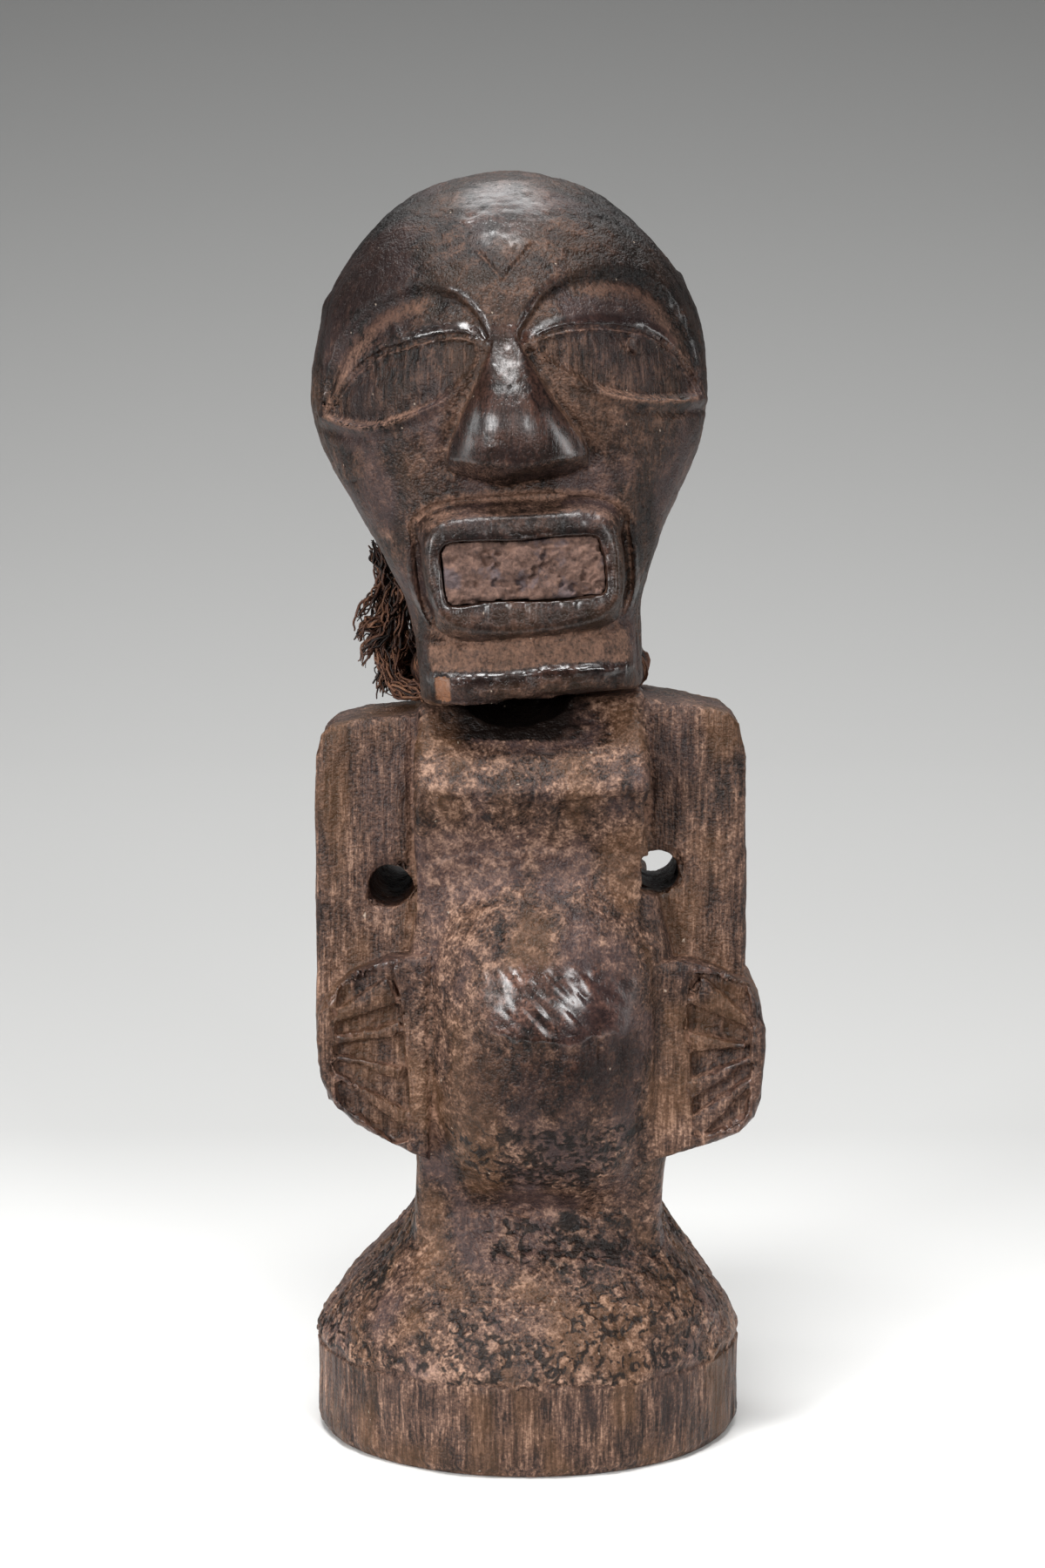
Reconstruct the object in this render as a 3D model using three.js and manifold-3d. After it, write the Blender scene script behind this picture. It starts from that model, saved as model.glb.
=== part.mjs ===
// Carved wooden power figure: domed base, swollen belly, hands on the belly, spirit face.
// Millimetres, +Z up, the front faces -Y, and the origin is the centre of the flat underside.
import * as THREE from 'three';
import { mergeVertices } from 'three/addons/utils/BufferGeometryUtils.js';
import Module from 'manifold-3d';

const wasm = await Module();
wasm.setup();

// Driving dimensions
const gap = 0.3; // clearance between pieces that touch
const sliver = 0.14; // detail smaller than this is merged away
const chinZ = 146; // where the head's own height starts, just above the chin's lower edge

const base = {
  radius: 41, foot: 39.8, footRise: 2.5, wall: 17.2, lip: 0.8, ledge: 0.4, domeTop: 46, neck: 23.4, square: 2.6,
};
const waist = { x: 2, half: 23.2, front: 22, back: 20.5, low: 38, high: 62, corner: 4.6 };
const torso = {
  high: 143, lean: 0.068, leanFrom: 100, corner: 5,
  //      height, centre, half width, front, back
  rings: [[46, 2, 22.6, 21.5, 21], [60, 2.6, 23.6, 24, 23], [80, 2.8, 24, 25, 24.5],
    [104, 1.2, 22.6, 25.5, 25], [114, 0.7, 22, 27.5, 25], [121, 0.5, 21.8, 31, 24.5],
    [126.5, 0.5, 21.8, 34, 24], [129.5, 0.5, 21.8, 33, 23], [136, 0.4, 21.6, 27.5, 23],
    [143, 0.3, 21.2, 22, 20]],
};
const belly = { x: 3.4, y: -15, z: 80.5, rx: 24.6, ry: 26.6, rz: 34, square: 2.9 };
const spine = { radius: 3.5, x: 1.4, y: 26.5, low: 58, high: 134 };
const arm = { front: -20.5, back: 11, bevel: 2.2 };
const shoulders = {
  left: { inner: -19, top: 140, brow: [-32, 138.4], corner: [-39.2, 134.6], side: -40.3 },
  right: { inner: 20, top: 143.2, brow: [32, 141.6], corner: [39.4, 137.8], side: 41.4 },
};
const hand = { front: -29, back: 11.6, bevel: 1.4, well: 2.4, finger: 0.3, fingerBevel: 0.6 };
const scoop = { x: -2.3, y: -20, z: 144.2, rx: 10.3, ry: 12, rz: 6.6 };
const neck = { x: 0.8, y: 2, rx: 14, ry: 13.5, low: 136, high: 184 };
const holes = {
  radius: 3.9, reach: 52,
  left: { at: [-25.9, arm.front, 107.8], slope: [0.05, 1, 0.09] },
  right: { at: [24.4, arm.front, 110.6], slope: [0, 1, 0] },
};

const skull = { half: 37.4, front: 37, back: 36, widest: 54, rise: 40.5, top: 94.3 };
const jaw = { half: 21.2, flareFrom: 8, front: 33, back: 6, swellFrom: 34, nape: 27, bottom: -2 };
const chinRidge = { at: 2.2, proud: 2.9, reach: 4.2 };
const nose = {
  foot: 36.9, tip: 41.6, flare: 62, bridge: 64.4, top: 67, narrow: 2.6, wide: 12.8, proud: 8.4, flank: 1.3,
  root: -24, x: 0.5,
};
const mouth = {
  x: 1.1, h: 20.7, half: 17.6, rise: 10.4, bar: 3.2, foot: 4.2, proud: 5.4, root: -26, floor: -31,
  corner: 4.5, innerCorner: 1.6, bevel: 1.4, pasteBack: 1.2,
};
const eye = { socket: 1.8, lid: 0.5, ball: 1.35, overlap: 0.7 };
const faceReach = { front: -60, back: -8 }; // how deep the eye patches run through the head
const ear = { x: 33.9, y: 5, h: 69, rx: 2.6, ry: 6.5, rz: 6.5 };

const binding = { x: 0.6, y: 2, z: 147.4, rx: 18.2, ry: 16.2, thick: 5.3, tall: 4.7, turns: 9, twist: 0.5 };

// Smooth step from 0 to 1 between two heights
const ease = (t, from, to) => {
  const s = THREE.MathUtils.clamp((t - from) / (to - from), 0, 1);
  return 0.5 - 0.5 * Math.cos(Math.PI * s);
};

// Quarter of an ellipse: 1 at the start, 0 at the end
const dome = (t, from, reach) => {
  const s = THREE.MathUtils.clamp((t - from) / reach, 0, 1);
  return Math.sqrt(Math.max(1 - s * s, 0));
};

const power = (v, n) => Math.sign(v) * Math.abs(v) ** n;

// Value read from a table of rings, on a smooth curve through them
const along = (rings, column) => {
  const heights = rings.map((ring) => ring[0]);
  const values = rings.map((ring) => ring[column]);
  const curve = new THREE.CubicInterpolant(heights, values, 1);
  return (t) => curve.evaluate(t)[0];
};

// Closed body through rings of equally many points, each end closed by a fan
function loft(rings) {
  const count = rings[0].length;
  const points = rings.flat();
  const faces = [];
  for (let r = 0; r + 1 < rings.length; r += 1) {
    for (let i = 0; i < count; i += 1) {
      const a = r * count + i;
      const b = r * count + ((i + 1) % count);
      faces.push(a, b, b + count, a, b + count, a + count);
    }
  }
  for (const [ring, turned] of [[0, true], [rings.length - 1, false]]) {
    const centre = new THREE.Vector3();
    rings[ring].forEach((point) => centre.addScaledVector(point, 1 / count));
    points.push(centre);
    for (let i = 0; i < count; i += 1) {
      const a = ring * count + i;
      const b = ring * count + ((i + 1) % count);
      faces.push(points.length - 1, ...(turned ? [b, a] : [a, b]));
    }
  }
  const geometry = new THREE.BufferGeometry().setFromPoints(points);
  return geometry.setIndex(faces);
}

// Ring with squared corners, seen from above, with its own reach to the front and the back
function ring({ x = 0, z, half, front, back, corner, backCorner = corner, count }) {
  return Array.from({ length: count }, (_, i) => {
    const angle = (2 * Math.PI * i) / count;
    const [c, s] = [Math.cos(angle), Math.sin(angle)];
    const n = s < 0 ? corner : backCorner;
    return new THREE.Vector3(
      x + half * power(c, 2 / n),
      (s < 0 ? front : back) * power(s, 2 / n),
      z,
    );
  });
}

// Rounded lump whose squareness is set by a power
function lump({ x, y, z, rx, ry, rz, square = 2 }, across = 24, up = 14) {
  const geometry = new THREE.SphereGeometry(1, across, up);
  const place = geometry.attributes.position;
  const at = new THREE.Vector3();
  for (let i = 0; i < place.count; i += 1) {
    at.fromBufferAttribute(place, i);
    const size = (Math.abs(at.x) ** square + Math.abs(at.z) ** square) ** (1 / square);
    const round = size > 1e-6 ? Math.hypot(at.x, at.z) / size : 1;
    place.setXYZ(i, x + rx * at.x * round, y + ry * at.y, z + rz * at.z * round);
  }
  return geometry;
}

// Solid for cutting and joining
function solid(geometry) {
  const plain = geometry.clone();
  plain.deleteAttribute('normal');
  plain.deleteAttribute('uv');
  const merged = mergeVertices(plain, 1e-4);
  return new wasm.Manifold(new wasm.Mesh({
    numProp: 3,
    vertProperties: new Float32Array(merged.attributes.position.array),
    triVerts: new Uint32Array(merged.index.array),
  }));
}

const join = (bodies) => bodies.reduce((all, body) => all.add(body));

// Plain geometry again, without the slivers that joining and cutting leave
function asGeometry(body) {
  const mesh = body.simplify(sliver).getMesh();
  const geometry = new THREE.BufferGeometry();
  geometry.setAttribute('position', new THREE.BufferAttribute(mesh.vertProperties, 3));
  geometry.setIndex(new THREE.BufferAttribute(mesh.triVerts, 1));
  return geometry;
}

const outline = (points) => new THREE.Shape(points.map(([x, y]) => new THREE.Vector2(x, y)));

// Slab cut to an outline seen from the front, between two depths
function slab(shape, front, back, bevel = 0, curveSegments = 8, bevelSegments = 2) {
  const geometry = new THREE.ExtrudeGeometry(shape, {
    depth: back - front - 2 * bevel,
    bevelEnabled: bevel > 0,
    bevelThickness: bevel,
    bevelSize: bevel,
    bevelOffset: -bevel,
    bevelSegments,
    curveSegments,
  });
  geometry.rotateX(Math.PI / 2);
  return geometry.translate(0, back - bevel, 0);
}

// Base: upright round wall, then a bell-shaped dome that turns square where it meets the waist
function baseSolid() {
  const steps = 8;
  const levels = [[0, base.foot], [base.footRise, base.radius], [base.wall - base.lip, base.radius]];
  for (let i = 0; i <= steps; i += 1) {
    const z = THREE.MathUtils.lerp(base.wall, base.domeTop, i / steps);
    const down = 1 - ease(z, base.wall, base.domeTop);
    levels.push([z, THREE.MathUtils.lerp(base.neck, base.radius - base.ledge, down)]);
  }
  return solid(loft(levels.map(([z, r]) => {
    const up = ease(z, base.wall, base.domeTop);
    return ring({ x: waist.x * up, z, half: r, front: r, back: r, corner: 2 + base.square * up, count: 40 });
  })));
}

function waistSolid() {
  const levels = [waist.low, waist.high];
  return solid(loft(levels.map((z) => ring({ ...waist, z, count: 28 }))));
}

// Trunk: flat block whose chest leans out to a sharp ridge above the belly
function torsoSolid() {
  const [centre, half, front, back] = [1, 2, 3, 4].map((column) => along(torso.rings, column));
  const heights = torso.rings.flatMap(([z], i, all) => (i ? [(z + all[i - 1][0]) / 2, z] : [z]));
  const rings = heights.map((z) => ring({
    x: centre(z), z, half: half(z), front: front(z), back: back(z), corner: torso.corner, count: 28,
  }));
  for (const point of rings.flat()) {
    point.z += torso.lean * point.x * ease(point.z, torso.leanFrom, torso.high);
  }
  return solid(loft(rings));
}

function armSolid(side, name) {
  const s = shoulders[name];
  const shape = outline([
    [s.inner, s.top], s.brow, s.corner, [s.side, s.corner[1] - 4], [s.side - side * 0.6, 108],
    [s.side - side * 0.6, 74], [s.side - side * 2.5, 67], [s.inner + side * 8, 62], [s.inner, 60],
  ]);
  return solid(slab(shape, arm.front, arm.back, arm.bevel));
}

// Hand outlines and fingers as seen from the front. A finger runs from its root at the
// outer side to its tip on the belly: x, height and half width at each end.
const hands = {
  left: {
    block: [[-18, 95.8], [-25.5, 95], [-32.4, 92.3], [-36.4, 89.4], [-38.9, 85], [-39.4, 79.7], [-38.9, 73],
      [-37.2, 68.8], [-32.2, 64.2], [-28, 61.6], [-21.5, 58.2], [-18, 57]],
    well: [[-24.6, 92.6], [-29, 93], [-32.4, 91.4], [-35.2, 88.6], [-35.4, 70.8], [-31.8, 66.6], [-22.4, 61.4]],
    fingers: [
      [-36, 84.2, 1.2, -25, 89.3, 2.8], [-35.6, 80, 1.1, -23.5, 82.2, 1.5],
      [-35.8, 76.9, 0.9, -23.5, 73.7, 1.5], [-36, 73.6, 0.9, -22, 64.6, 1.7],
    ],
  },
  right: {
    block: [[20, 94.4], [29.6, 94.8], [33.7, 93.6], [41.3, 90.2], [43.4, 87], [44.3, 82], [44.2, 75.5],
      [43.6, 69], [42.2, 65.4], [39.4, 62.6], [35.2, 60.6], [20, 55.6]],
    well: [[30.4, 91], [33.8, 92.6], [38.4, 90.8], [41, 88], [40.9, 69], [38.2, 65], [31.5, 63], [30.2, 78]],
    fingers: [
      [42.4, 82.4, 1.1, 30.5, 89.6, 3], [40.6, 79, 0.7, 29.5, 79.8, 2.3],
      [41.4, 76.4, 0.8, 29.5, 70.4, 1.8], [41.6, 72.6, 0.9, 31, 63.4, 2.1],
    ],
  },
};

function handSolid({ block, well, fingers }) {
  const floor = hand.front + hand.well;
  const palm = solid(slab(outline(block), hand.front, hand.back, hand.bevel));
  const hollow = solid(slab(outline(well), hand.front - hand.well, floor));
  const ridges = fingers.map(([x0, z0, half0, x1, z1, half1]) => {
    const angle = Math.atan2(z1 - z0, x1 - x0);
    const [dx, dz] = [-Math.sin(angle), Math.cos(angle)];
    const shape = outline([
      [x0 + dx * half0, z0 + dz * half0], [x0 - dx * half0, z0 - dz * half0],
      [x1 - dx * half1, z1 - dz * half1], [x1 + dx * half1, z1 + dz * half1],
    ]);
    return solid(slab(shape, hand.front + hand.finger, floor + hand.well, hand.fingerBevel, 2, 1));
  });
  return join([palm.subtract(hollow), ...ridges]);
}

function armHole({ at, slope }) {
  const drill = new THREE.CylinderGeometry(holes.radius, holes.radius, holes.reach, 16);
  const turn = new THREE.Quaternion().setFromUnitVectors(
    new THREE.Vector3(0, 1, 0),
    new THREE.Vector3(...slope).normalize(),
  );
  drill.applyQuaternion(turn);
  const middle = (arm.back - arm.front) / 2;
  return solid(drill.translate(...at.map((v, i) => v + slope[i] * middle)));
}

// The head leans to the viewer's right at the chin and straightens towards the crown.
// Its own frame: x from the middle of the face, h up from chinZ.
const leanCentre = (h) => 0.6 - 4.1 * ease(h, -6, 62) - 0.6 * ease(h, 60, skull.top);
const leanSlope = (h) => 0.07 - 0.035 * ease(h, 4, 52) - 0.035 * ease(h, 52, skull.top);

function leanHead(geometry) {
  const place = geometry.attributes.position;
  for (let i = 0; i < place.count; i += 1) {
    const [x, h] = [place.getX(i), place.getZ(i)];
    place.setX(i, x + leanCentre(h));
    place.setZ(i, chinZ + h + x * leanSlope(h));
  }
  return geometry;
}

const headHalf = (h) => (h < skull.widest
  ? jaw.half + (skull.half - jaw.half) * ease(h, jaw.flareFrom, skull.widest)
  : skull.half * dome(h, skull.widest, skull.rise));

function headFront(h) {
  const face = h < skull.widest
    ? jaw.front + (skull.front - jaw.front) * ease(h, jaw.swellFrom, skull.widest)
    : skull.front * dome(h, skull.widest, skull.rise);
  const ridge = Math.max(1 - ((h - chinRidge.at) / chinRidge.reach) ** 2, 0);
  return face + chinRidge.proud * ridge;
}

function headBack(h) {
  if (h > skull.widest) return skull.back * dome(h, skull.widest, skull.rise);
  return jaw.back + (skull.back - jaw.back) * dome(-h, -skull.widest, skull.widest - jaw.nape);
}

const headCorner = (h) => 4.5 - 2.3 * ease(h, 16, 58);

// Head without its features, its skin moved in by an inset
function headShell(inset = 0) {
  const crown = 9;
  const heights = [jaw.bottom, -1.2, 0.5, 2.5, 4.5, 7, 10, 14, 18, 22, 26, 27.5, 30, 34];
  for (let h = 38; h < skull.widest; h += 4) heights.push(h);
  for (let i = 0; i <= crown; i += 1) {
    heights.push(skull.widest + (skull.top - skull.widest) * Math.sin((Math.PI / 2) * (i / crown)));
  }
  const rings = heights.map((h) => ring({
    z: h < skull.widest ? h : h - inset * ease(h, skull.widest, skull.top),
    half: Math.max(headHalf(h) - inset, 0.5),
    front: Math.max(headFront(h) - inset, 0.5),
    back: Math.max(headBack(h) - inset, 0.5),
    corner: headCorner(h),
    backCorner: 2.2,
    count: 34,
  }));
  return solid(leanHead(loft(rings)));
}

// Eye curves on the right of the face, from the inner corner to the outer corner
const eyeCurves = {
  brow: [[3, 65], [7, 71.4], [12.5, 74.3], [18.5, 74.8], [26.5, 71.8], [32.6, 62.4], [35.8, 51.8]],
  lid: [[4.8, 62.9], [11, 64.4], [18, 63.8], [26, 61.2], [32, 56], [35.6, 51.4]],
  lidTop: [[4.6, 63.6], [9, 66.6], [18, 67.2], [26, 64.4], [32, 58.6], [35.4, 51.7]],
  fold: [[4.8, 61.4], [9, 56.8], [15, 52.6], [22, 50.2], [29, 49.8], [35.8, 51]],
};

// Eye curve moved up or down, so that one patch runs under the next
const moved = (curve, by) => curve.map(([x, h]) => [x, h + by]);

// Slab over the face between two eye curves, one running out and one running back
function facePatch(side, upper, lower) {
  const steps = 12;
  const curve = (points) => new THREE.SplineCurve(points.map(([x, h]) => new THREE.Vector2(side * x, h)));
  const points = [...curve(upper).getPoints(steps), ...curve(lower).getPoints(steps).reverse()];
  if (side < 0) points.reverse();
  return solid(leanHead(slab(new THREE.Shape(points), faceReach.front, faceReach.back)));
}

// Nose: a wedge with steep flanks that widens down to the tip and closes in a V below it
function noseSolid() {
  const levels = [37.2, 38.6, 40.2, nose.tip, 46, 50, 54, 58, nose.flare, nose.bridge, 66.6];
  const steps = 10;
  const rings = levels.map((h) => {
    const flare = nose.narrow + (nose.wide - nose.narrow) * (nose.flare - h) / (nose.flare - nose.tip);
    const half = h < nose.tip ? nose.wide * (h - nose.foot + 0.6) / (nose.tip - nose.foot) : Math.max(flare, 1);
    const proud = nose.proud * (1 - ease(h, nose.tip, nose.top)) * (1 - ease(-h, -nose.tip, -nose.foot + 1.4));
    const level = [new THREE.Vector3(half, nose.root, h), new THREE.Vector3(-half, nose.root, h)];
    for (let i = 0; i <= steps; i += 1) {
      const x = half * Math.sin(Math.PI * (i / steps - 0.5));
      const face = headFront(h) * (1 - (Math.abs(x) / headHalf(h)) ** headCorner(h)) ** (1 / headCorner(h));
      const swell = nose.flank + (proud - nose.flank) * (1 - (Math.abs(x) / half) ** 2.6);
      level.push(new THREE.Vector3(x, -face - Math.max(swell, 0.2), h));
    }
    return level.map((point) => point.setX(point.x + nose.x * dome(h, nose.tip, 20)));
  });
  return solid(leanHead(loft(rings)));
}

// Raised box of the mouth: a rounded frame, and the hollow inside it
function roundedBox(x, low, high, half, radius) {
  const shape = new THREE.Shape();
  shape.absarc(x + half - radius, low + radius, radius, -Math.PI / 2, 0);
  shape.absarc(x + half - radius, high - radius, radius, 0, Math.PI / 2);
  shape.absarc(x - half + radius, high - radius, radius, Math.PI / 2, Math.PI);
  shape.absarc(x - half + radius, low + radius, radius, Math.PI, 1.5 * Math.PI);
  return shape;
}

const mouthLow = mouth.h - mouth.rise;
const mouthHigh = mouth.h + mouth.rise;
const mouthFront = -(jaw.front + mouth.proud);

function mouthFrame() {
  const shape = roundedBox(mouth.x, mouthLow, mouthHigh, mouth.half, mouth.corner);
  return solid(leanHead(slab(shape, mouthFront, mouth.root, mouth.bevel, 4)));
}

function mouthHollow(inset, front) {
  const shape = roundedBox(
    mouth.x, mouthLow + mouth.foot + inset, mouthHigh - mouth.bar - inset, mouth.half - mouth.bar - inset,
    mouth.innerCorner,
  );
  return solid(leanHead(slab(shape, front, mouth.floor - inset, 0, 2)));
}

// Binding: a twisted ring of fibre, made fatter by a margin to cut its groove
function bindingSolid(margin = 0) {
  const [steps, sides] = [36, 9];
  const rings = Array.from({ length: steps + 1 }, (_, i) => {
    const turn = (2 * Math.PI * i) / steps;
    return Array.from({ length: sides }, (_, k) => {
      const angle = (2 * Math.PI * k) / sides;
      const strand = margin ? binding.twist : binding.twist * Math.cos(3 * angle - binding.turns * turn);
      const out = (binding.thick + strand + margin) * Math.cos(angle);
      return new THREE.Vector3(
        binding.x + (binding.rx + out) * Math.cos(turn),
        binding.y + (binding.ry + out) * Math.sin(turn),
        binding.z + (binding.tall + strand + margin) * Math.sin(angle),
      );
    });
  });
  const closed = [];
  const positions = rings.slice(0, steps).flat();
  for (let i = 0; i < steps; i += 1) {
    for (let k = 0; k < sides; k += 1) {
      const [a, b] = [i * sides + k, i * sides + ((k + 1) % sides)];
      const [c, d] = [((i + 1) % steps) * sides + k, ((i + 1) % steps) * sides + ((k + 1) % sides)];
      closed.push(a, c, d, a, d, b);
    }
  }
  return solid(new THREE.BufferGeometry().setFromPoints(positions).setIndex(closed));
}

// Locks of the tuft: points along each, then its radius at the root and at the tip
const locks = [
  [[[-17, 9, 148], [-22, 7, 149], [-26, 4, 155], [-27.5, 3, 162], [-28.5, 2, 169.5]], 4.2, 1],
  [[[-19, 8, 147], [-24, 6, 148], [-27, 3, 152], [-29, 1, 154.5], [-31.6, 0, 152], [-32.2, 0, 147.6]], 2.6, 0.8],
  [[[-18, 8, 147], [-23, 5, 146.5], [-26.5, 2, 147.5], [-28.4, 0, 145.5], [-28.4, 0, 141.6]], 2.2, 0.7],
  [[[-25, 5, 154], [-27.6, 2, 158], [-30, 0, 158.2], [-32.2, -1, 155], [-33, -1, 152]], 1.3, 0.5],
  [[[-19, 10, 148], [-24, 10, 151], [-27, 11, 156], [-28, 12, 163]], 3.2, 0.8],
  [[[-18, 12, 147], [-23, 13, 148], [-27, 13, 149.5], [-29.5, 12, 146.5], [-29.6, 11, 142.6]], 2.2, 0.7],
];

function lockSolid([points, root, tip]) {
  const [steps, sides] = [8, 6];
  const path = new THREE.CatmullRomCurve3(points.map((point) => new THREE.Vector3(...point)));
  const frames = path.computeFrenetFrames(steps, false);
  const rings = Array.from({ length: steps + 1 }, (_, i) => {
    const t = i / steps;
    const middle = path.getPointAt(t);
    const radius = tip + (root - tip) * dome(t, 0, 1) * Math.min(0.7 + 2.5 * t, 1);
    return Array.from({ length: sides }, (_, k) => {
      const angle = (2 * Math.PI * k) / sides;
      return middle.clone()
        .addScaledVector(frames.normals[i], radius * Math.cos(angle))
        .addScaledVector(frames.binormals[i], radius * Math.sin(angle));
    });
  });
  return solid(loft(rings));
}

// Assembly
let head = headShell();
for (const side of [-1, 1]) {
  const { brow, lidTop, lid, fold } = eyeCurves;
  head = head.subtract(facePatch(side, brow, fold).subtract(headShell(eye.socket)));
  head = head.add(facePatch(side, lidTop, lid).intersect(headShell(eye.lid)));
  const ball = facePatch(side, moved(lid, eye.overlap), moved(fold, -eye.overlap));
  head = head.add(ball.intersect(headShell(eye.ball)));
}
head = join([head, noseSolid(), mouthFrame(), ...[-1, 1].map((side) => (
  solid(leanHead(lump({ ...ear, x: side * ear.x, z: ear.h }, 12, 8)))
))]);
head = head.subtract(mouthHollow(0, mouthFront - 2));

const neckRings = [neck.low, neck.high].map((z) => (
  ring({ z, half: neck.rx, front: neck.ry, back: neck.ry, corner: 2, count: 28 })
));
const neckColumn = solid(loft(neckRings).translate(neck.x, neck.y, 0));
const spineCut = new THREE.CylinderGeometry(spine.radius, spine.radius, spine.high - spine.low, 14);
spineCut.rotateX(Math.PI / 2).translate(spine.x, spine.y, (spine.low + spine.high) / 2);

const carving = join([
  baseSolid(), waistSolid(), torsoSolid(), solid(lump(belly, 26, 16)),
  armSolid(-1, 'left'), armSolid(1, 'right'), handSolid(hands.left), handSolid(hands.right),
  neckColumn, head,
]);
const figure = [
  solid(lump(scoop, 20, 12)), solid(spineCut), armHole(holes.left), armHole(holes.right), bindingSolid(gap),
].reduce((body, cut) => body.subtract(cut), carving);

const paste = mouthHollow(gap, mouthFront + mouth.pasteBack);
const ringOfFibre = bindingSolid();
const tuft = join(locks.map(lockSolid)).subtract(bindingSolid(gap)).subtract(headShell(-gap));

const finishes = {
  wood: { color: 0x4a3730, roughness: 0.55, metalness: 0 },
  paste: { color: 0x7d675a, roughness: 0.95, metalness: 0 },
  fibre: { color: 0x4b2d1c, roughness: 0.9, metalness: 0 },
};

const group = new THREE.Group();
for (const [name, body, finish] of [
  ['figure', figure, finishes.wood],
  ['mouth_paste', paste, finishes.paste],
  ['neck_binding', ringOfFibre, finishes.fibre],
  ['fibre_tuft', tuft, finishes.fibre],
]) {
  const mesh = new THREE.Mesh(asGeometry(body), new THREE.MeshStandardMaterial(finish));
  mesh.name = name;
  group.add(mesh);
}

export default group;
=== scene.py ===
# Carved wooden power figure: everything the camera sees is built here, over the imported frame.
import math
import time

import bpy
import numpy as np
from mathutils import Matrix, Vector


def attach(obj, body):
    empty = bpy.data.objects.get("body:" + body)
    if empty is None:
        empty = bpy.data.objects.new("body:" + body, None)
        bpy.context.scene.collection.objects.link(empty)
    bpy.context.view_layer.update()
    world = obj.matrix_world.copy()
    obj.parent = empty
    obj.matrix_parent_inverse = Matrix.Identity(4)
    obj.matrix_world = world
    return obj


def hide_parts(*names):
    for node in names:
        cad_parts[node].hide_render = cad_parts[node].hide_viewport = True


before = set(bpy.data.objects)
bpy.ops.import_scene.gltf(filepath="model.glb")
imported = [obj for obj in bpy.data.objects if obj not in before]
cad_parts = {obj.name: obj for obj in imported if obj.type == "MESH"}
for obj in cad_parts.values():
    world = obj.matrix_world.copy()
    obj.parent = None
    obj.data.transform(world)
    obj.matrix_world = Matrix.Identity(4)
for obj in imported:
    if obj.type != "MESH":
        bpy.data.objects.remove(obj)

started = time.time()
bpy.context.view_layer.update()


def say(stage):
    print(f"[{time.time() - started:5.1f} s] {stage}")


def newObject(name, data):
    made = bpy.data.objects.new(name, data)
    bpy.context.scene.collection.objects.link(made)
    return made


# Camera, at the photograph's angle

cameraLook = {"x": -0.001, "distance": 0.652, "height": 0.199, "pitch": 6.5, "lens": 78.3, "sensor": 36}


def placeCamera():
    data = bpy.data.cameras.new("camera")
    data.sensor_fit = "VERTICAL"
    data.sensor_height = cameraLook["sensor"]
    data.lens = cameraLook["lens"]
    data.clip_start = 0.01
    camera = newObject("camera", data)
    camera.location = (cameraLook["x"], -cameraLook["distance"], cameraLook["height"])
    camera.rotation_euler = (math.radians(90 - cameraLook["pitch"]), 0, 0)
    bpy.context.scene.camera = camera


placeCamera()
say("camera")


# Small maths, in millimetres on whole arrays

def ease(t, low, high):
    s = np.clip((t - low) / (high - low), 0, 1)
    return 0.5 - 0.5 * np.cos(np.pi * s)


def step(t, low, high):  # 0 at low, 1 at high, smooth between
    s = np.clip((t - low) / (high - low), 0, 1)
    return s * s * (3 - 2 * s)


def bump(t, width):  # 1 at t = 0, falls away on both sides
    return np.exp(-(t / width) ** 2)


def blendMin(a, b, k):  # two forms joined, with a soft crease k wide
    h = np.clip(0.5 + 0.5 * (b - a) / k, 0, 1)
    return b + (a - b) * h - k * h * (1 - h)


def blendMax(a, b, k):
    return -blendMin(-a, -b, k)


def roundMax(a, b, r):  # what two half spaces share, its edge rounded to radius r
    out = np.sqrt(np.maximum(a + r, 0) ** 2 + np.maximum(b + r, 0) ** 2)
    return out + np.minimum(np.maximum(a, b) + r, 0) - r


def smoothTable(heights, values):  # a smooth curve through a short table, read by height
    heights, values = np.array(heights, float), np.array(values, float)
    slopes = np.gradient(values, heights)
    slopes[1:-1] = (values[2:] - values[:-2]) / (heights[2:] - heights[:-2])
    fine = np.linspace(heights[0], heights[-1], 400)
    i = np.clip(np.searchsorted(heights, fine) - 1, 0, len(heights) - 2)
    wide = heights[i + 1] - heights[i]
    t = (fine - heights[i]) / wide
    curve = ((2 * t**3 - 3 * t**2 + 1) * values[i] + (t**3 - 2 * t**2 + t) * wide * slopes[i]
             + (3 * t**2 - 2 * t**3) * values[i + 1] + (t**3 - t**2) * wide * slopes[i + 1])
    return lambda z: np.interp(z, fine, curve)


def smoothLine(points, steps=6, closed=False):  # a smooth line through measured points
    p = np.array(points, float)
    ends = (p[-1:], p[:2]) if closed else (2 * p[:1] - p[1:2], 2 * p[-1:] - p[-2:-1])
    p = np.concatenate([ends[0], p, ends[1]])
    t = np.linspace(0, 1, steps, endpoint=False)[:, None]
    parts = [0.5 * (2 * b + (c - a) * t + (2 * a - 5 * b + 4 * c - d) * t**2 + (3 * b - a - 3 * c + d) * t**3)
             for a, b, c, d in zip(p[:-3], p[1:-2], p[2:-1], p[3:])]
    return np.concatenate(parts if closed else parts + [p[-2:-1]])


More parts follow.
